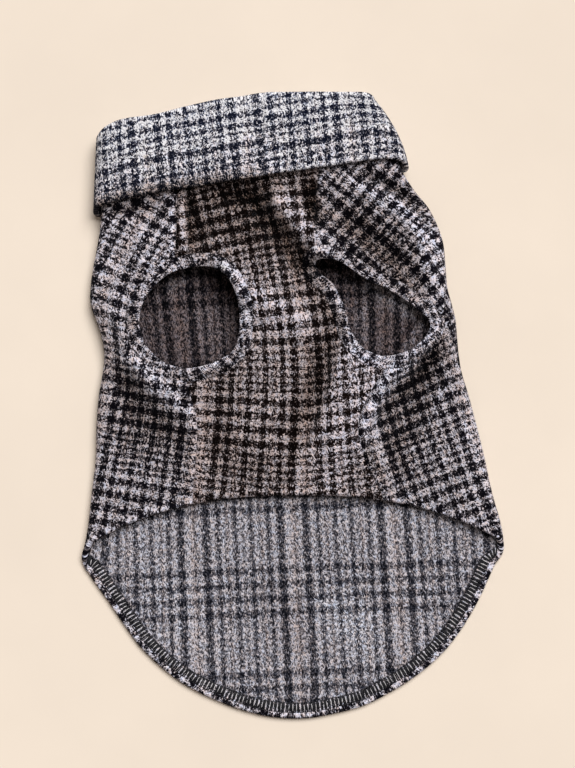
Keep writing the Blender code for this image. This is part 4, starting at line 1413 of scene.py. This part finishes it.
@dataclass
class Panel:
    """A panel of the body: columns of cloth from a hem up to the neck, laid in the body's form.

    Its wraps are the columns on the belly side, which meet a side seam. A wrap's way is which way across
    the cloth its x goes, 1 or -1.
    """

    form: BodyForm
    armholes: Sequence[Armhole]
    node: str = ""
    rows: int = 0
    outwards: bool = True
    wrap_way: float = 1.0
    hem: Hem = field(default_factory=Hem)
    hole_edge: float = 4.6
    over_floor: float = 2.6
    ply_painted_light: float = 0.0
    seam_dip: float = 1.5
    seam_reach: float = 0.8
    seam_puff: Puff = Puff(0.32, 2.3, 1.2)
    band_dip: float = 1.5
    band_span: Span = (0.55, -0.35)
    band_puff: Puff = Puff(0.22, 2.0, 1.1)
    stitch_dip: float = 0.42
    stitch_reach: float = 0.75
    normal_step: float = 0.7
    shares: Array = field(init=False)
    wraps: Array = field(init=False)
    on_table: Array = field(init=False)

    def xz(self, y: Array) -> tuple[Array, Array]:
        """Where each column crosses a line of constant y: x and height."""
        raise NotImplementedError

    def from_seam(self, x: Array, y: Array) -> Array:
        """How far places are from the side seam that they are sewn to."""
        raise NotImplementedError

    def lay_check(self, points: Array) -> Array:
        """The check's places over the panel's grid."""
        raise NotImplementedError

    def outer_hems(self) -> list[Any]:
        """Which columns have stitches that show outside, a line of them at a time."""
        return [slice(None)]

    def build(self, finishes: Sequence[Material], inner: Thread, wool: Thread, outer: Thread) -> Thing:
        """Makes the panel and sews its hem.

        Args:
            finishes: The right side's and the wrong side's materials.
            inner: The overlocking thread.
            wool: The slivers of wool between its strands.
            outer: The thread that shows outside.

        Returns:
            The object.
        """
        grid, hole = self.grid()
        thing = object_from(f"{self.node}_cloth", grid.bmesh(hole), finishes)
        thicken(thing, self.form.cloth, 1, self.outwards)
        show(thing, [self.node])
        grid.declare(thing, "laid")
        sewing = HemSewing(self.hem, self.form.cloth)
        sewing.inside(inner, wool, grid.points[1:-1])
        for columns in self.outer_hems():
            sewing.outside(outer, grid.points[columns][1:-1])
        return thing

    def point(self, y: Array) -> Array:
        """The panel's places for a y of each column and row."""
        x, z = self.xz(y)
        return np.stack([x, np.broadcast_to(y, x.shape), z], -1)

    def settled(self, line: Callable[[Array], Array], first: float) -> Array:
        """The y at which each column meets a line across it.

        Args:
            line: Gives the line's y where the columns cross a given one.
            first: The y to start from.

        Returns:
            The y on each column.
        """
        y = np.full((len(self.shares), 1), first)
        for _ in range(SETTLING):
            y = line(y)
        return y[:, 0]

    def hem_line(self) -> Array:
        """The y of the hem on each column."""
        return self.settled(lambda y: self.form.belly_y(self.xz(y)[0]), self.form.belly_top_y)

    def grid(self) -> tuple[ClothGrid, Array]:
        """The panel's sheet with its check, and which of its places are in an armhole."""
        points = self.hemmed()
        x, y = points[..., 0], points[..., 1]
        # Painted light and shade for both faces. The turned ply is painted paler, and the lower layer's outer
        # face on the table gets none past the hem.
        within = np.where(self.on_table[:, None], self.form.floor_rise(x, y), self.form.rise(x, y))
        within[:, : self.hem.rows()] += self.ply_painted_light
        outer = within.copy()
        outer[self.on_table, self.hem.rows():] = 0.0
        made, hole = self.sewn(points)
        return ClothGrid(made, self.lay_check(points), outer, within), hole

    def sewn(self, points: Array) -> tuple[Array, Array]:
        """Draws the grid's cloth in at the seams and the stitches, and opens the armholes.

        Args:
            points: The panel's grid.

        Returns:
            The changed grid, and which of its places are in an armhole.
        """
        x, y = points[..., 0], points[..., 1]
        seam = self.from_seam(x, y)
        z = points[..., 2] - self.seam_dip * bell(seam, self.seam_reach) + self.seam_puff.over(seam)
        stitched = y - self.form.belly_y(x) - self.hem.topstitch
        sunk = z - self.stitch_dip * bell(stitched, self.stitch_reach)
        hole = np.zeros(x.shape, bool)
        reach = self.form.band_width
        for armhole in self.armholes:
            out, nearest = armhole.away(x, y)
            sunk = sunk - self.band_dip * smoothstep(*(reach + end for end in self.band_span), out)
            sunk = sunk + self.band_puff.over(out - reach)
            inside = (out < self.hole_edge) & (sunk > self.form.floor_layer + self.over_floor)
            edge = armhole.edge[nearest] + armhole.outward[nearest] * self.hole_edge
            x, y = np.where(inside, edge[..., 0], x), np.where(inside, edge[..., 1], y)
            hole |= inside
        change = ~self.on_table[:, None] & (np.arange(points.shape[1]) >= self.hem.rows())
        hole &= change
        level = np.where(hole[..., None], np.stack([x, y], -1), points[..., :2])
        return np.concatenate([level, np.where(change, sunk, z)[..., None]], -1), hole

    def hemmed(self) -> Array:
        """The grid with its hem turned in: from the ply's raw edge, round the turn and up to the neck."""
        hem = self.hem_line()
        neck = self.settled(lambda y: self.form.neck_y(self.xz(y)[0]), FIRST_NECK_Y)
        edge = self.point(hem[:, None])[:, 0]
        run = np.gradient(edge, axis=0)
        inward = unit(np.stack([-run[:, 1], run[:, 0], np.zeros(len(run))], -1))
        facing = -1.0 if self.outwards else 1.0

        def normal(y: Array) -> Array:
            """The way towards the body at each place."""
            up = self.point(y + self.normal_step) - self.point(y - self.normal_step)
            return unit(np.cross(np.gradient(self.point(y), axis=0), up)) * facing

        def from_hem(distance: float) -> tuple[Array, Array]:
            """The place and the normal at a distance from the hem, which is square to it on the table."""
            y = (hem + distance)[:, None]
            level = edge + inward * distance
            level[:, 2] = self.form.floor_height(level[:, 0], level[:, 1])
            flat = self.on_table[:, None]
            return (np.where(flat, level, self.point(y)[:, 0]),
                    np.where(flat, np.array([0.0, 0.0, 1.0]), normal(y)[:, 0]))

        made = []
        for step in range(self.hem.ply_rows):
            place, way = from_hem(lerp(self.hem.width, self.hem.turn, step / self.hem.ply_rows))
            made.append(place + way * 2 * self.hem.turn)
        base, way = from_hem(self.hem.turn)
        outward = unit(from_hem(0.0)[0] - base) * self.hem.turn
        for step in range(self.hem.turn_rows + 1):
            turn = math.pi * (1 - step / self.hem.turn_rows)
            made.append(base + way * self.hem.turn * (1 - math.cos(turn)) + outward * math.sin(turn))
        low = hem + self.hem.turn
        y = low[:, None] + (neck - low)[:, None] * (np.arange(1, self.rows + 1) / self.rows)[None]
        return np.concatenate([np.stack(made, 1), self.point(y)], 1)

    def moves(self, points: Array) -> tuple[Array, Array]:
        """The grid's steps as they are on the flat cloth: their way up the body, and the rest across.

        In the turned hem the cloth goes on past the edge and comes back.

        Args:
            points: The grid.

        Returns:
            The steps between columns and those between rows, across and up.
        """
        across = np.where(self.wraps, self.wrap_way, 1.0)
        step = np.diff(points, axis=0)
        up = step[..., 1]
        length = np.linalg.norm(step, axis=-1)
        moves_i = np.stack([np.sqrt(np.maximum(length**2 - up**2, 0.0)), up], -1)
        step = np.diff(points, axis=1)
        length = np.linalg.norm(step, axis=-1)
        flat = np.hypot(step[..., 0], step[..., 1])
        stretch = np.where(flat > TINY, length / np.maximum(flat, TINY), 1.0)
        moves_j = step[..., :2] * stretch[..., None]
        moves_j[..., 0] *= across[:, None]
        moves_j[~(self.wraps | self.on_table), :, 0] = 0.0
        edge = self.hem.rows() - 1
        along = np.gradient(points[:, edge, :2], axis=0)
        along[:, 0] *= across
        along = unit(along)
        inward = np.stack([-along[:, 1], along[:, 0]], -1)
        inward *= np.where(inward[:, 1:] < 0, -1.0, 1.0)
        moves_j[:, :edge] = inward[:, None] * length[:, :edge, None]
        moves_i[:, :edge] = moves_i[:, edge : edge + 1]
        return moves_i, moves_j


class Zone(IntEnum):
    """The runs of the back's columns, from its left side seam round under the body to its right one."""

    LEFT_WRAP = 0
    LEFT_SIDE = 1
    FLOOR = 2
    RIGHT_SIDE = 3
    RIGHT_WRAP = 4


@dataclass
class BackPanel(Panel):
    """The back: flat on the table, turned up round both sides to the side seams."""

    node: str = "back_panel"
    rows: int = 150
    outwards: bool = False
    wrap_way: float = -1.0
    ply_painted_light: float = 2.0
    wrap_columns: int = 50
    side_columns: int = 10
    floor_columns: int = 112
    crowding: float = 1.25
    spread_span: Span = (-30, 40)
    spread_least: float = 0.3
    gap_x: float = 2.25
    gap_y: float = -98.0
    gap_row: int = 60
    row_y: float = -82.0
    zones: Array = field(init=False)

    def __post_init__(self) -> None:
        """Lists the columns, with the zone of each and its share of the way across it."""
        wrap = (np.arange(self.wrap_columns) / self.wrap_columns) ** self.crowding
        side = np.arange(self.side_columns) / self.side_columns
        floor = np.arange(self.floor_columns) / self.floor_columns
        back = 1 - (1 - np.arange(self.wrap_columns + 1) / self.wrap_columns) ** self.crowding
        parts = [wrap, side, floor, side, back]
        self.zones = np.concatenate([np.full(len(part), zone) for zone, part in zip(Zone, parts)])
        self.shares = np.concatenate(parts)
        self.wraps = (self.zones == Zone.LEFT_WRAP) | (self.zones == Zone.RIGHT_WRAP)
        self.on_table = self.zones == Zone.FLOOR

    def outer_hems(self) -> list[Any]:
        """Which columns have stitches that show outside, a line of them at a time."""
        return [self.zones == Zone.LEFT_WRAP, self.zones == Zone.RIGHT_WRAP]

    def xz(self, y: Array) -> tuple[Array, Array]:
        """Where each column crosses a line of constant y.

        Args:
            y: The line's place up the table, for each column and row.

        Returns:
            The x and the height.
        """
        form = self.form
        zone, share, wraps = self.zones[:, None], self.shares[:, None], self.wraps[:, None]
        held = np.maximum(y, form.tail_corner_y)
        radius = form.side_radius(held)
        left, right = form.edges(held)
        left_seam, right_seam = form.seams(y)
        even = smoothstep(*(form.tail_corner_y + end for end in self.spread_span), y)
        even = self.spread_least + (1 - self.spread_least) * even
        spread = lerp(0.5 - 0.5 * np.cos(math.pi * share), share, even)
        floor_x = lerp(left + radius, right - radius, spread)
        left_x = lerp(left_seam, left + radius, share)
        right_x = lerp(right - radius, right_seam, share)
        on_left = zone == Zone.LEFT_SIDE
        turn = math.pi * np.where(on_left, share, 1 - share)
        centre = np.where(on_left, left + radius, right - radius)
        side_x = centre + np.where(on_left, -radius, radius) * np.sin(turn)
        runs = [zone == Zone.LEFT_WRAP, zone == Zone.RIGHT_WRAP, zone == Zone.FLOOR]
        x = np.select(runs, [left_x, right_x, floor_x], side_x)
        crown = form.crown(np.select(runs[:2], [left_x, right_x], centre), np.where(wraps, y, held))
        low = form.floor_height(centre, held)
        side_z = (crown + low) / 2 + (crown - low) / 2 * np.cos(turn)
        return x, np.select([wraps, runs[2]], [crown, form.floor_height(x, y)], side_z)

    def from_seam(self, x: Array, y: Array) -> Array:
        """How far places are from the side seam that they are sewn to."""
        left, right = self.form.seams(y)
        return np.where(self.wraps[:, None], np.minimum(abs(x - left), abs(x - right)), FAR)

    def hem_line(self) -> Array:
        """The y of the hem on each column."""
        form, share = self.form, self.shares[:, None]
        on_left = (self.zones == Zone.LEFT_SIDE)[:, None]
        first, last = self.on_table.argmax(), (self.zones == Zone.RIGHT_SIDE).argmax()

        def line(y: Array) -> Array:
            """The hem's y where the columns cross a given one."""
            x = self.xz(y)[0]
            corner = np.where(on_left, form.tail_y(x[first]), form.tail_y(x[last]))
            side = lerp(form.belly_y(x), corner, smoothstep(0, 1, np.where(on_left, share, 1 - share)))
            runs = [self.wraps[:, None], self.on_table[:, None]]
            return np.select(runs, [form.belly_y(x), form.tail_y(x)], side)

        return self.settled(line, float(form.belly_y(-form.belly_half_width)))

    def lay_check(self, points: Array) -> Array:
        """The check's places over the back, from the middle of the tail round to the seams.

        Args:
            points: The grid of the cloth.

        Returns:
            The place of each on the flat cloth.
        """
        sides = [self.zones == zone for zone in (Zone.LEFT_SIDE, Zone.RIGHT_SIDE)]
        turned = np.select([*sides, self.on_table], [1 - self.shares, self.shares, 0 * self.shares], 1.0)
        belly = -turn_at(BACK_LAY, points[..., 0], points[..., 1])
        turn = lerp(math.radians(FLOOR_TURN), belly, smoothstep(0.0, 1.0, turned)[:, None])
        cloth = CheckLay().lay(*self.moves(points), turn)
        floor, start = np.flatnonzero(self.on_table), self.hem.rows()
        i = floor[abs(points[floor, self.gap_row, 0] - self.gap_x).argmin()]
        j, k = (abs(points[i, start:, 1] - y).argmin() + start for y in (self.gap_y, self.row_y))
        return cloth - np.array([cloth[i, j, 0], cloth[i, k, 1]])


@dataclass
class ChestPanel(Panel):
    """The chest, between the side seams and the shoulder seams on the belly side."""

    node: str = "chest_panel"
    rows: int = 176
    columns: int = 104
    crowding: float = 0.35
    gap: Spot = Spot(7.0, 17.0)
    row: Spot = Spot(-13.0, 0.5)

    def __post_init__(self) -> None:
        """Lists the columns, closer together towards both seams."""
        even = np.arange(self.columns + 1) / self.columns
        self.shares = lerp(even, 0.5 - 0.5 * np.cos(math.pi * even), self.crowding)
        self.wraps = np.ones(len(even), bool)
        self.on_table = ~self.wraps

    def xz(self, y: Array) -> tuple[Array, Array]:
        """Where each column crosses a line of constant y: x and height."""
        x = lerp(*self.form.seams(y), self.shares[:, None])
        return x, self.form.crown(x, y)

    def from_seam(self, x: Array, y: Array) -> Array:
        """How far places are inwards from the nearer side seam."""
        left, right = self.form.seams(y)
        return np.minimum(x - left, right - x)

    def lay_check(self, points: Array) -> Array:
        """The check's places over the chest."""
        cloth = CheckLay().lay(*self.moves(points), turn_at(CHEST_LAY, points[..., 0], points[..., 1]))
        origin, start = [], self.hem.rows()
        for n, spot in enumerate((self.gap, self.row)):
            gap = np.hypot(points[:, start:, 0] - spot.x, points[:, start:, 1] - spot.y)
            i, j = np.unravel_index(gap.argmin(), gap.shape)
            origin.append(cloth[i, j + start, n])
        return cloth - np.array(origin)


@dataclass
class ArmholeBand:
    """A band round an armhole: a doubled strip of the wool, soft and rounded at the arm's edge."""

    form: BodyForm
    armhole: Armhole
    node: str
    seed: int
    sides: int = 24
    thickness: float = 2.8
    seam_edge: float = 0.25
    thin_from: float = 0.45
    roundness: float = 0.5
    wave_height: float = 0.22
    wave_lengths: Span = (6.0, 17.0)
    uneven_height: float = 0.10
    uneven_lengths: Span = (7.0, 22.0)
    bias: float = 16.0
    row_shift: float = 3.4
    # Painted highlight along the upper half of the band's rolled inner edge: how much, how far out, and from
    # where round the roll
    edge_highlight: float = 1.4
    edge_highlight_reach: float = 2.0
    edge_highlight_from: float = -0.1

    def build(self, finish: Material) -> Thing:
        """Makes the band.

        Args:
            finish: The cloth's material.

        Returns:
            The object.
        """
        edge, outward = self.armhole.edge, self.armhole.outward
        reach = self.form.band_width - self.seam_edge
        middle = edge + outward * reach / 2
        run = travelled(np.concatenate([middle, middle[:1]]))
        turn = math.tau * np.arange(self.sides + 1) / self.sides
        out = reach * (0.5 - 0.5 * np.cos(turn))
        places = edge[:, None] + outward[:, None] * out[None, :, None]
        x, y = places[..., 0], places[..., 1]
        wave = Ripple(self.seed, self.wave_height, *self.wave_lengths).at(x, y)
        uneven = Ripple(self.seed + 1, self.uneven_height, *self.uneven_lengths).at(x, y)
        thickness = lerp(self.thickness, self.form.cloth, smoothstep(self.thin_from, 1.0, out / reach))
        rounded = np.copysign(abs(np.sin(turn)) ** self.roundness, np.sin(turn))[None]
        lift = (thickness / 2 + uneven) * rounded
        points = np.stack([x, y, self.form.upper_height(x, y) + lift + wave], -1)
        # Painted highlight on the upper half of the rolled inner edge
        painted_highlight = self.edge_highlight * (bell(out, self.edge_highlight_reach) * (np.sin(turn) > self.edge_highlight_from))
        rise = self.form.rise(x, y) + painted_highlight[None]
        points, rise = (np.concatenate([part, part[:1]], 0) for part in (points, rise))
        round_it = travelled(points[0])
        bias = math.radians(self.bias)
        down, over = np.broadcast_arrays(run[:, None], round_it[None] + self.row_shift)
        cloth = np.stack([down * math.cos(bias) - over * math.sin(bias),
                          down * math.sin(bias) + over * math.cos(bias)], -1)
        grid = ClothGrid(points, cloth, rise)
        thing = object_from(f"{self.node}_cloth", grid.bmesh(close=True), [finish], turn_out=True)
        show(thing, [self.node])
        grid.declare(thing, "laid", (run[-1], round_it[-1] / 2))
        return thing


@dataclass
class RollCollar:
    """The roll collar: up from the neck seam inside, over its top fold and down outside."""

    form: BodyForm
    wall: float = 2.3
    height: float = 15.6
    turn: float = 1.4
    stand_level: float = 0.33
    stand_lap: float = 0.6
    flare: float = 1.5
    swell: float = 2.8
    left: Span = (-99.9, -98.6)
    right: Span = (58.4, 41.4)
    columns: tuple[int, int, int] = (50, 104, 58)
    side_columns: int = 18
    wall_rows: int = 30
    fold_rows: int = 8
    gaps_x: Span = (-72.0, 31.0)
    lean: float = 0.10
    join_x: float = -14.5
    join_shift: float = 4.3
    join_dip: float = 0.55
    join_reach: float = 0.9
    front_span: Span = (0.1, 0.9)
    upper_span: Span = (0.5, 1.0)
    end_span: Span = (0, 6)
    # Painted highlight towards the top fold, and painted shade at the left of the lower edge
    painted_highlight: float = 2.2
    painted_highlight_span: Span = (0.45, 0.75)
    pressed: float = 8.0
    edge_painted_shade_span: Span = (0.62, 0.38)
    edge_painted_shade_reach: float = 0.11
    rumple_rise: float = 30
    unevenness: Ripple = Ripple(seed=21, height=0.28, shortest=14.0, longest=44.0)

    def side_x(self, level: Array) -> tuple[Array, Array]:
        """The x of the collar's two sides at a level up it."""
        return lerp(*self.left, level), lerp(*self.right, level) + self.swell * 4 * level * (1 - level)

    def ring(self, inset: float, level: float) -> tuple[Array, Array]:
        """The flattened tube at one level, from its join in front all the way round.

        Args:
            inset: How far inside the outer wall it runs.
            level: The share of the way up the collar.

        Returns:
            Its x and its heights.
        """
        half = (self.height - self.wall) / 2 - inset
        middle = self.height / 2
        left, right = self.side_x(level)
        left, right = left + self.wall / 2 + inset + half, right - self.wall / 2 - inset - half
        to_right, behind, to_join = (np.arange(count) / count for count in self.columns)
        turn = math.pi * np.arange(self.side_columns) / self.side_columns
        x = np.concatenate([lerp(self.join_x, right, to_right), right + half * np.sin(turn),
                            lerp(right, left, behind), left - half * np.sin(turn),
                            lerp(left, self.join_x, to_join), [self.join_x]])
        front, back = middle + half, middle - half
        z = np.concatenate([np.full(len(to_right), front), middle + half * np.cos(turn),
                            np.full(len(behind), back), middle - half * np.cos(turn),
                            np.full(len(to_join) + 1, front)])
        return x, z

    def rise(self, share: Array, level: float) -> Array:
        """Painted light and shade: painted highlight towards the top fold, and painted shade at the left of
        the lower edge.
        """
        pressed = self.pressed * smoothstep(*self.edge_painted_shade_span, share) * bell(level, self.edge_painted_shade_reach)
        return self.painted_highlight * smoothstep(*self.painted_highlight_span, level) - pressed

    def profile(self) -> list[tuple[float, float]]:
        """The wall from its lower edge, over the top fold and down the stand: inset and level."""
        levels = [i / self.wall_rows for i in range(self.wall_rows + 1)]
        turns = [math.pi * i / self.fold_rows for i in range(1, self.fold_rows)]
        fold = [(self.turn * (1 - math.cos(t)), 1 + math.sin(t)) for t in turns]
        return [(0.0, level) for level in levels] + fold + [(2 * self.turn, 1 - level) for level in levels]

    def row(self, inset: float, level: float) -> tuple[Array, Array]:
        """The cloth all the way round, at one step of the profile.

        Args:
            inset: How far inside the outer wall it runs.
            level: The share of the way up the collar.

        Returns:
            The places, and the painted light and shade at each.
        """
        flat = min(1.0, level)
        bulge = max(0.0, level - 1) * self.turn
        on_stand = inset > self.turn
        at_level = lerp(self.stand_level, 1.0, flat) if on_stand else flat
        x, z = self.ring(inset, at_level)
        left, right = self.side_x(at_level)
        share = np.clip((x - left) / (right - left), 0.0, 1.0)
        front, behind, top = (
            along_table(COLLAR_STATIONS, "share", column, share) for column in ("lower", "lower_back", "top"))
        top = top - self.turn - self.wall / 2
        if on_stand:
            lower = self.form.neck_y(x) + self.stand_lap
        else:
            lower = lerp(behind, front, smoothstep(*self.front_span, z / self.height))
            upper = smoothstep(*self.upper_span, z / self.height)
            z = z + self.flare * ((1 - flat) ** 2 * 4 * share * (1 - share)) * upper
            uneven = self.unevenness.at(x, lower + flat * self.rumple_rise)
            z = z + uneven * upper * smoothstep(*self.end_span, right - x)
            z = z - self.join_dip * bell(x - self.join_x, self.join_reach) * upper
        places = np.stack([x, lerp(lower, top, flat) + bulge, z], -1)
        return places, self.rise(share, 1.0 if on_stand else flat)

    def build(self, finish: Material) -> Thing:
        """Makes the collar.

        Args:
            finish: The cloth's material.

        Returns:
            The object.
        """
        rows, rises = zip(*(self.row(inset, level) for inset, level in self.profile()))
        points = np.stack(rows, 1)
        grid = ClothGrid(points, self.lay_check(points), np.stack(rises, 1))
        thing = object_from("collar_cloth", grid.bmesh(close=True), [finish], turn_out=True)
        thicken(thing, self.wall, 0)
        show(thing, ["collar"])
        grid.declare(thing, "folded")
        return thing

    def lay_check(self, points: Array) -> Array:
        """The check's places over the collar: round it from its join, and up its wall.

        Args:
            points: The grid of the cloth.

        Returns:
            The place of each on the flat cloth.
        """
        first, _, last = self.columns
        around, up = travelled(points), travelled(points, 1)
        start, end = self.join_x - self.gaps_x[1], self.join_x - self.gaps_x[0]
        end += round((around[-1, 0] + start - end) / REPEAT) * REPEAT
        to_right, to_join = around[first], around[-1] - around[-1 - last]
        stretch = (end - start - to_right - to_join) / (around[-1 - last] - around[first])
        column = np.arange(len(points))[:, None]
        u = np.where(column <= first, start + around, start + to_right + (around - around[first]) * stretch)
        u = np.where(column >= len(points) - 1 - last, end + around - around[-1], u)
        return np.stack([u + up * self.lean, up - self.join_shift * (column / (len(points) - 1))], -1)


@dataclass
class Studio:
    """A plain pale floor, soft light from above and beyond the collar, and the camera."""

    distance: float = 1.0
    elevation: float = 86.0
    lens: float = 93.75
    target: tuple[float, float, float] = (-0.0025, 0.010, 0.004)
    floor_size: float = 6.0
    floor_colour: Colour = (0.84, 0.735, 0.61)
    floor_dim: float = 0.955
    key_from: tuple[float, float, float] = (0.26, 0.47, 0.84)
    key_strength: float = 3.35
    key_spread: float = 42.0
    key_colour: Colour = (1.0, 0.99, 1.0)
    room_strength: float = 0.20
    room_colour: Colour = (1.0, 0.90, 0.84)

    def build(self) -> None:
        """Sets up the floor, the lights and the camera."""
        self.floor()
        key = bpy.data.lights.new("key", "SUN")
        key.energy, key.angle = self.key_strength, math.radians(self.key_spread)
        key.color = self.key_colour
        self.place("key", key, Vector((0.0, 0.0, 0.0)), Vector(self.key_from))
        world = bpy.data.worlds.new("room")
        world.use_nodes = True
        background = world.node_tree.nodes["Background"]
        background.inputs[0].default_value = (*self.room_colour, 1.0)
        background.inputs[1].default_value = self.room_strength
        bpy.context.scene.world = world
        bpy.context.scene.view_settings.view_transform = "Standard"
        camera = bpy.data.cameras.new("camera")
        camera.lens = self.lens
        rise = math.radians(self.elevation)
        way = Vector((0.0, -math.cos(rise), math.sin(rise)))
        at = Vector(self.target) + way * self.distance
        bpy.context.scene.camera = self.place("camera", camera, at, way)

    def floor(self) -> None:
        """The floor that the garment lies on."""
        bm = bmesh.new()
        bmesh.ops.create_grid(bm, x_segments=1, y_segments=1, size=self.floor_size / 2)
        sketch = NodeSketch("pale_floor")
        dim = tuple(part * self.floor_dim for part in self.floor_colour)
        cloud = sketch.noise(sketch.place(), FLOOR_CLOUD)
        colour = sketch.ramp(cloud, [(0.35, dim), (0.65, self.floor_colour)])
        object_from("floor", bm, [sketch.finish(base_color=colour, roughness=0.75)])

    def place(self, name: str, data: Any, at: Vector, back: Vector) -> Thing:
        """Puts a lamp or a camera in the scene.

        Args:
            name: The object's name.
            data: The lamp or camera.
            at: Where it stands, in metres.
            back: The way it looks away from.

        Returns:
            The object.
        """
        thing = bpy.data.objects.new(name, data)
        thing.location = at
        thing.rotation_euler = (-back).to_track_quat("-Z", "Y").to_euler()
        bpy.context.scene.collection.objects.link(thing)
        return thing


def main() -> None:
    """Builds the sweater's pieces and the studio in order."""
    logging.basicConfig(level=logging.INFO, format="%(name)s %(message)s")
    Studio().build()
    form = BodyForm()
    left, right = Armhole(LEFT_ARMHOLE), Armhole(RIGHT_ARMHOLE)
    # The body's right side in two copies: outside for the back, and for the chest a darker, warmer copy with
    # painted shade
    outside = WoolFinish(ClothSide.RIGHT, dark=(0.006, 0.005, 0.008), dusk=(0.040, 0.035, 0.044),
                         tint=(0.64, 0.61, 0.63)).material()
    shaded = WoolFinish(ClothSide.RIGHT, dark=(0.009, 0.005, 0.004), dusk=(0.048, 0.034, 0.031),
                        middle=(0.165, 0.143, 0.140), tint=(0.56, 0.50, 0.49)).material()
    inside = WoolFinish(ClothSide.WRONG, dark=(0.010, 0.011, 0.016), dusk=(0.050, 0.053, 0.068),
                        middle=(0.190, 0.183, 0.200), tint=(0.57, 0.56, 0.585), low=0.17, reach=0.63,
                        nap=1.26, lift=0.008, shade=(0.180, 0.208, 0.216)).material()
    navy = WoolFinish(ClothSide.RIGHT, Weave.COLLAR, dark=(0.006, 0.008, 0.018), dusk=(0.036, 0.040, 0.060),
                      middle=(0.150, 0.154, 0.182), light=(0.470, 0.470, 0.490), tint=(0.90, 0.88, 0.91),
                      low=-0.045, reach=0.94).material()
    overlock, wool, topstitch = Thread("overlocking"), Thread("drawn_wool"), Thread("hem_stitches")
    BackPanel(form, [left, right]).build([outside, inside], overlock, wool, topstitch)
    ChestPanel(form, [left, right]).build([shaded, inside], overlock, wool, topstitch)
    black = ThreadFinish("black_thread", (0.008, 0.008, 0.010)).material()
    overlock.build(black)
    topstitch.build(black)
    wool.build(ThreadFinish("pale_wool", (0.50, 0.48, 0.48), roughness=0.9).material())
    ArmholeBand(form, left, "armhole_band_left", seed=3).build(outside)
    ArmholeBand(form, right, "armhole_band_right", seed=5).build(outside)
    RollCollar(form).build(navy)


if __name__ == "__main__":
    main()
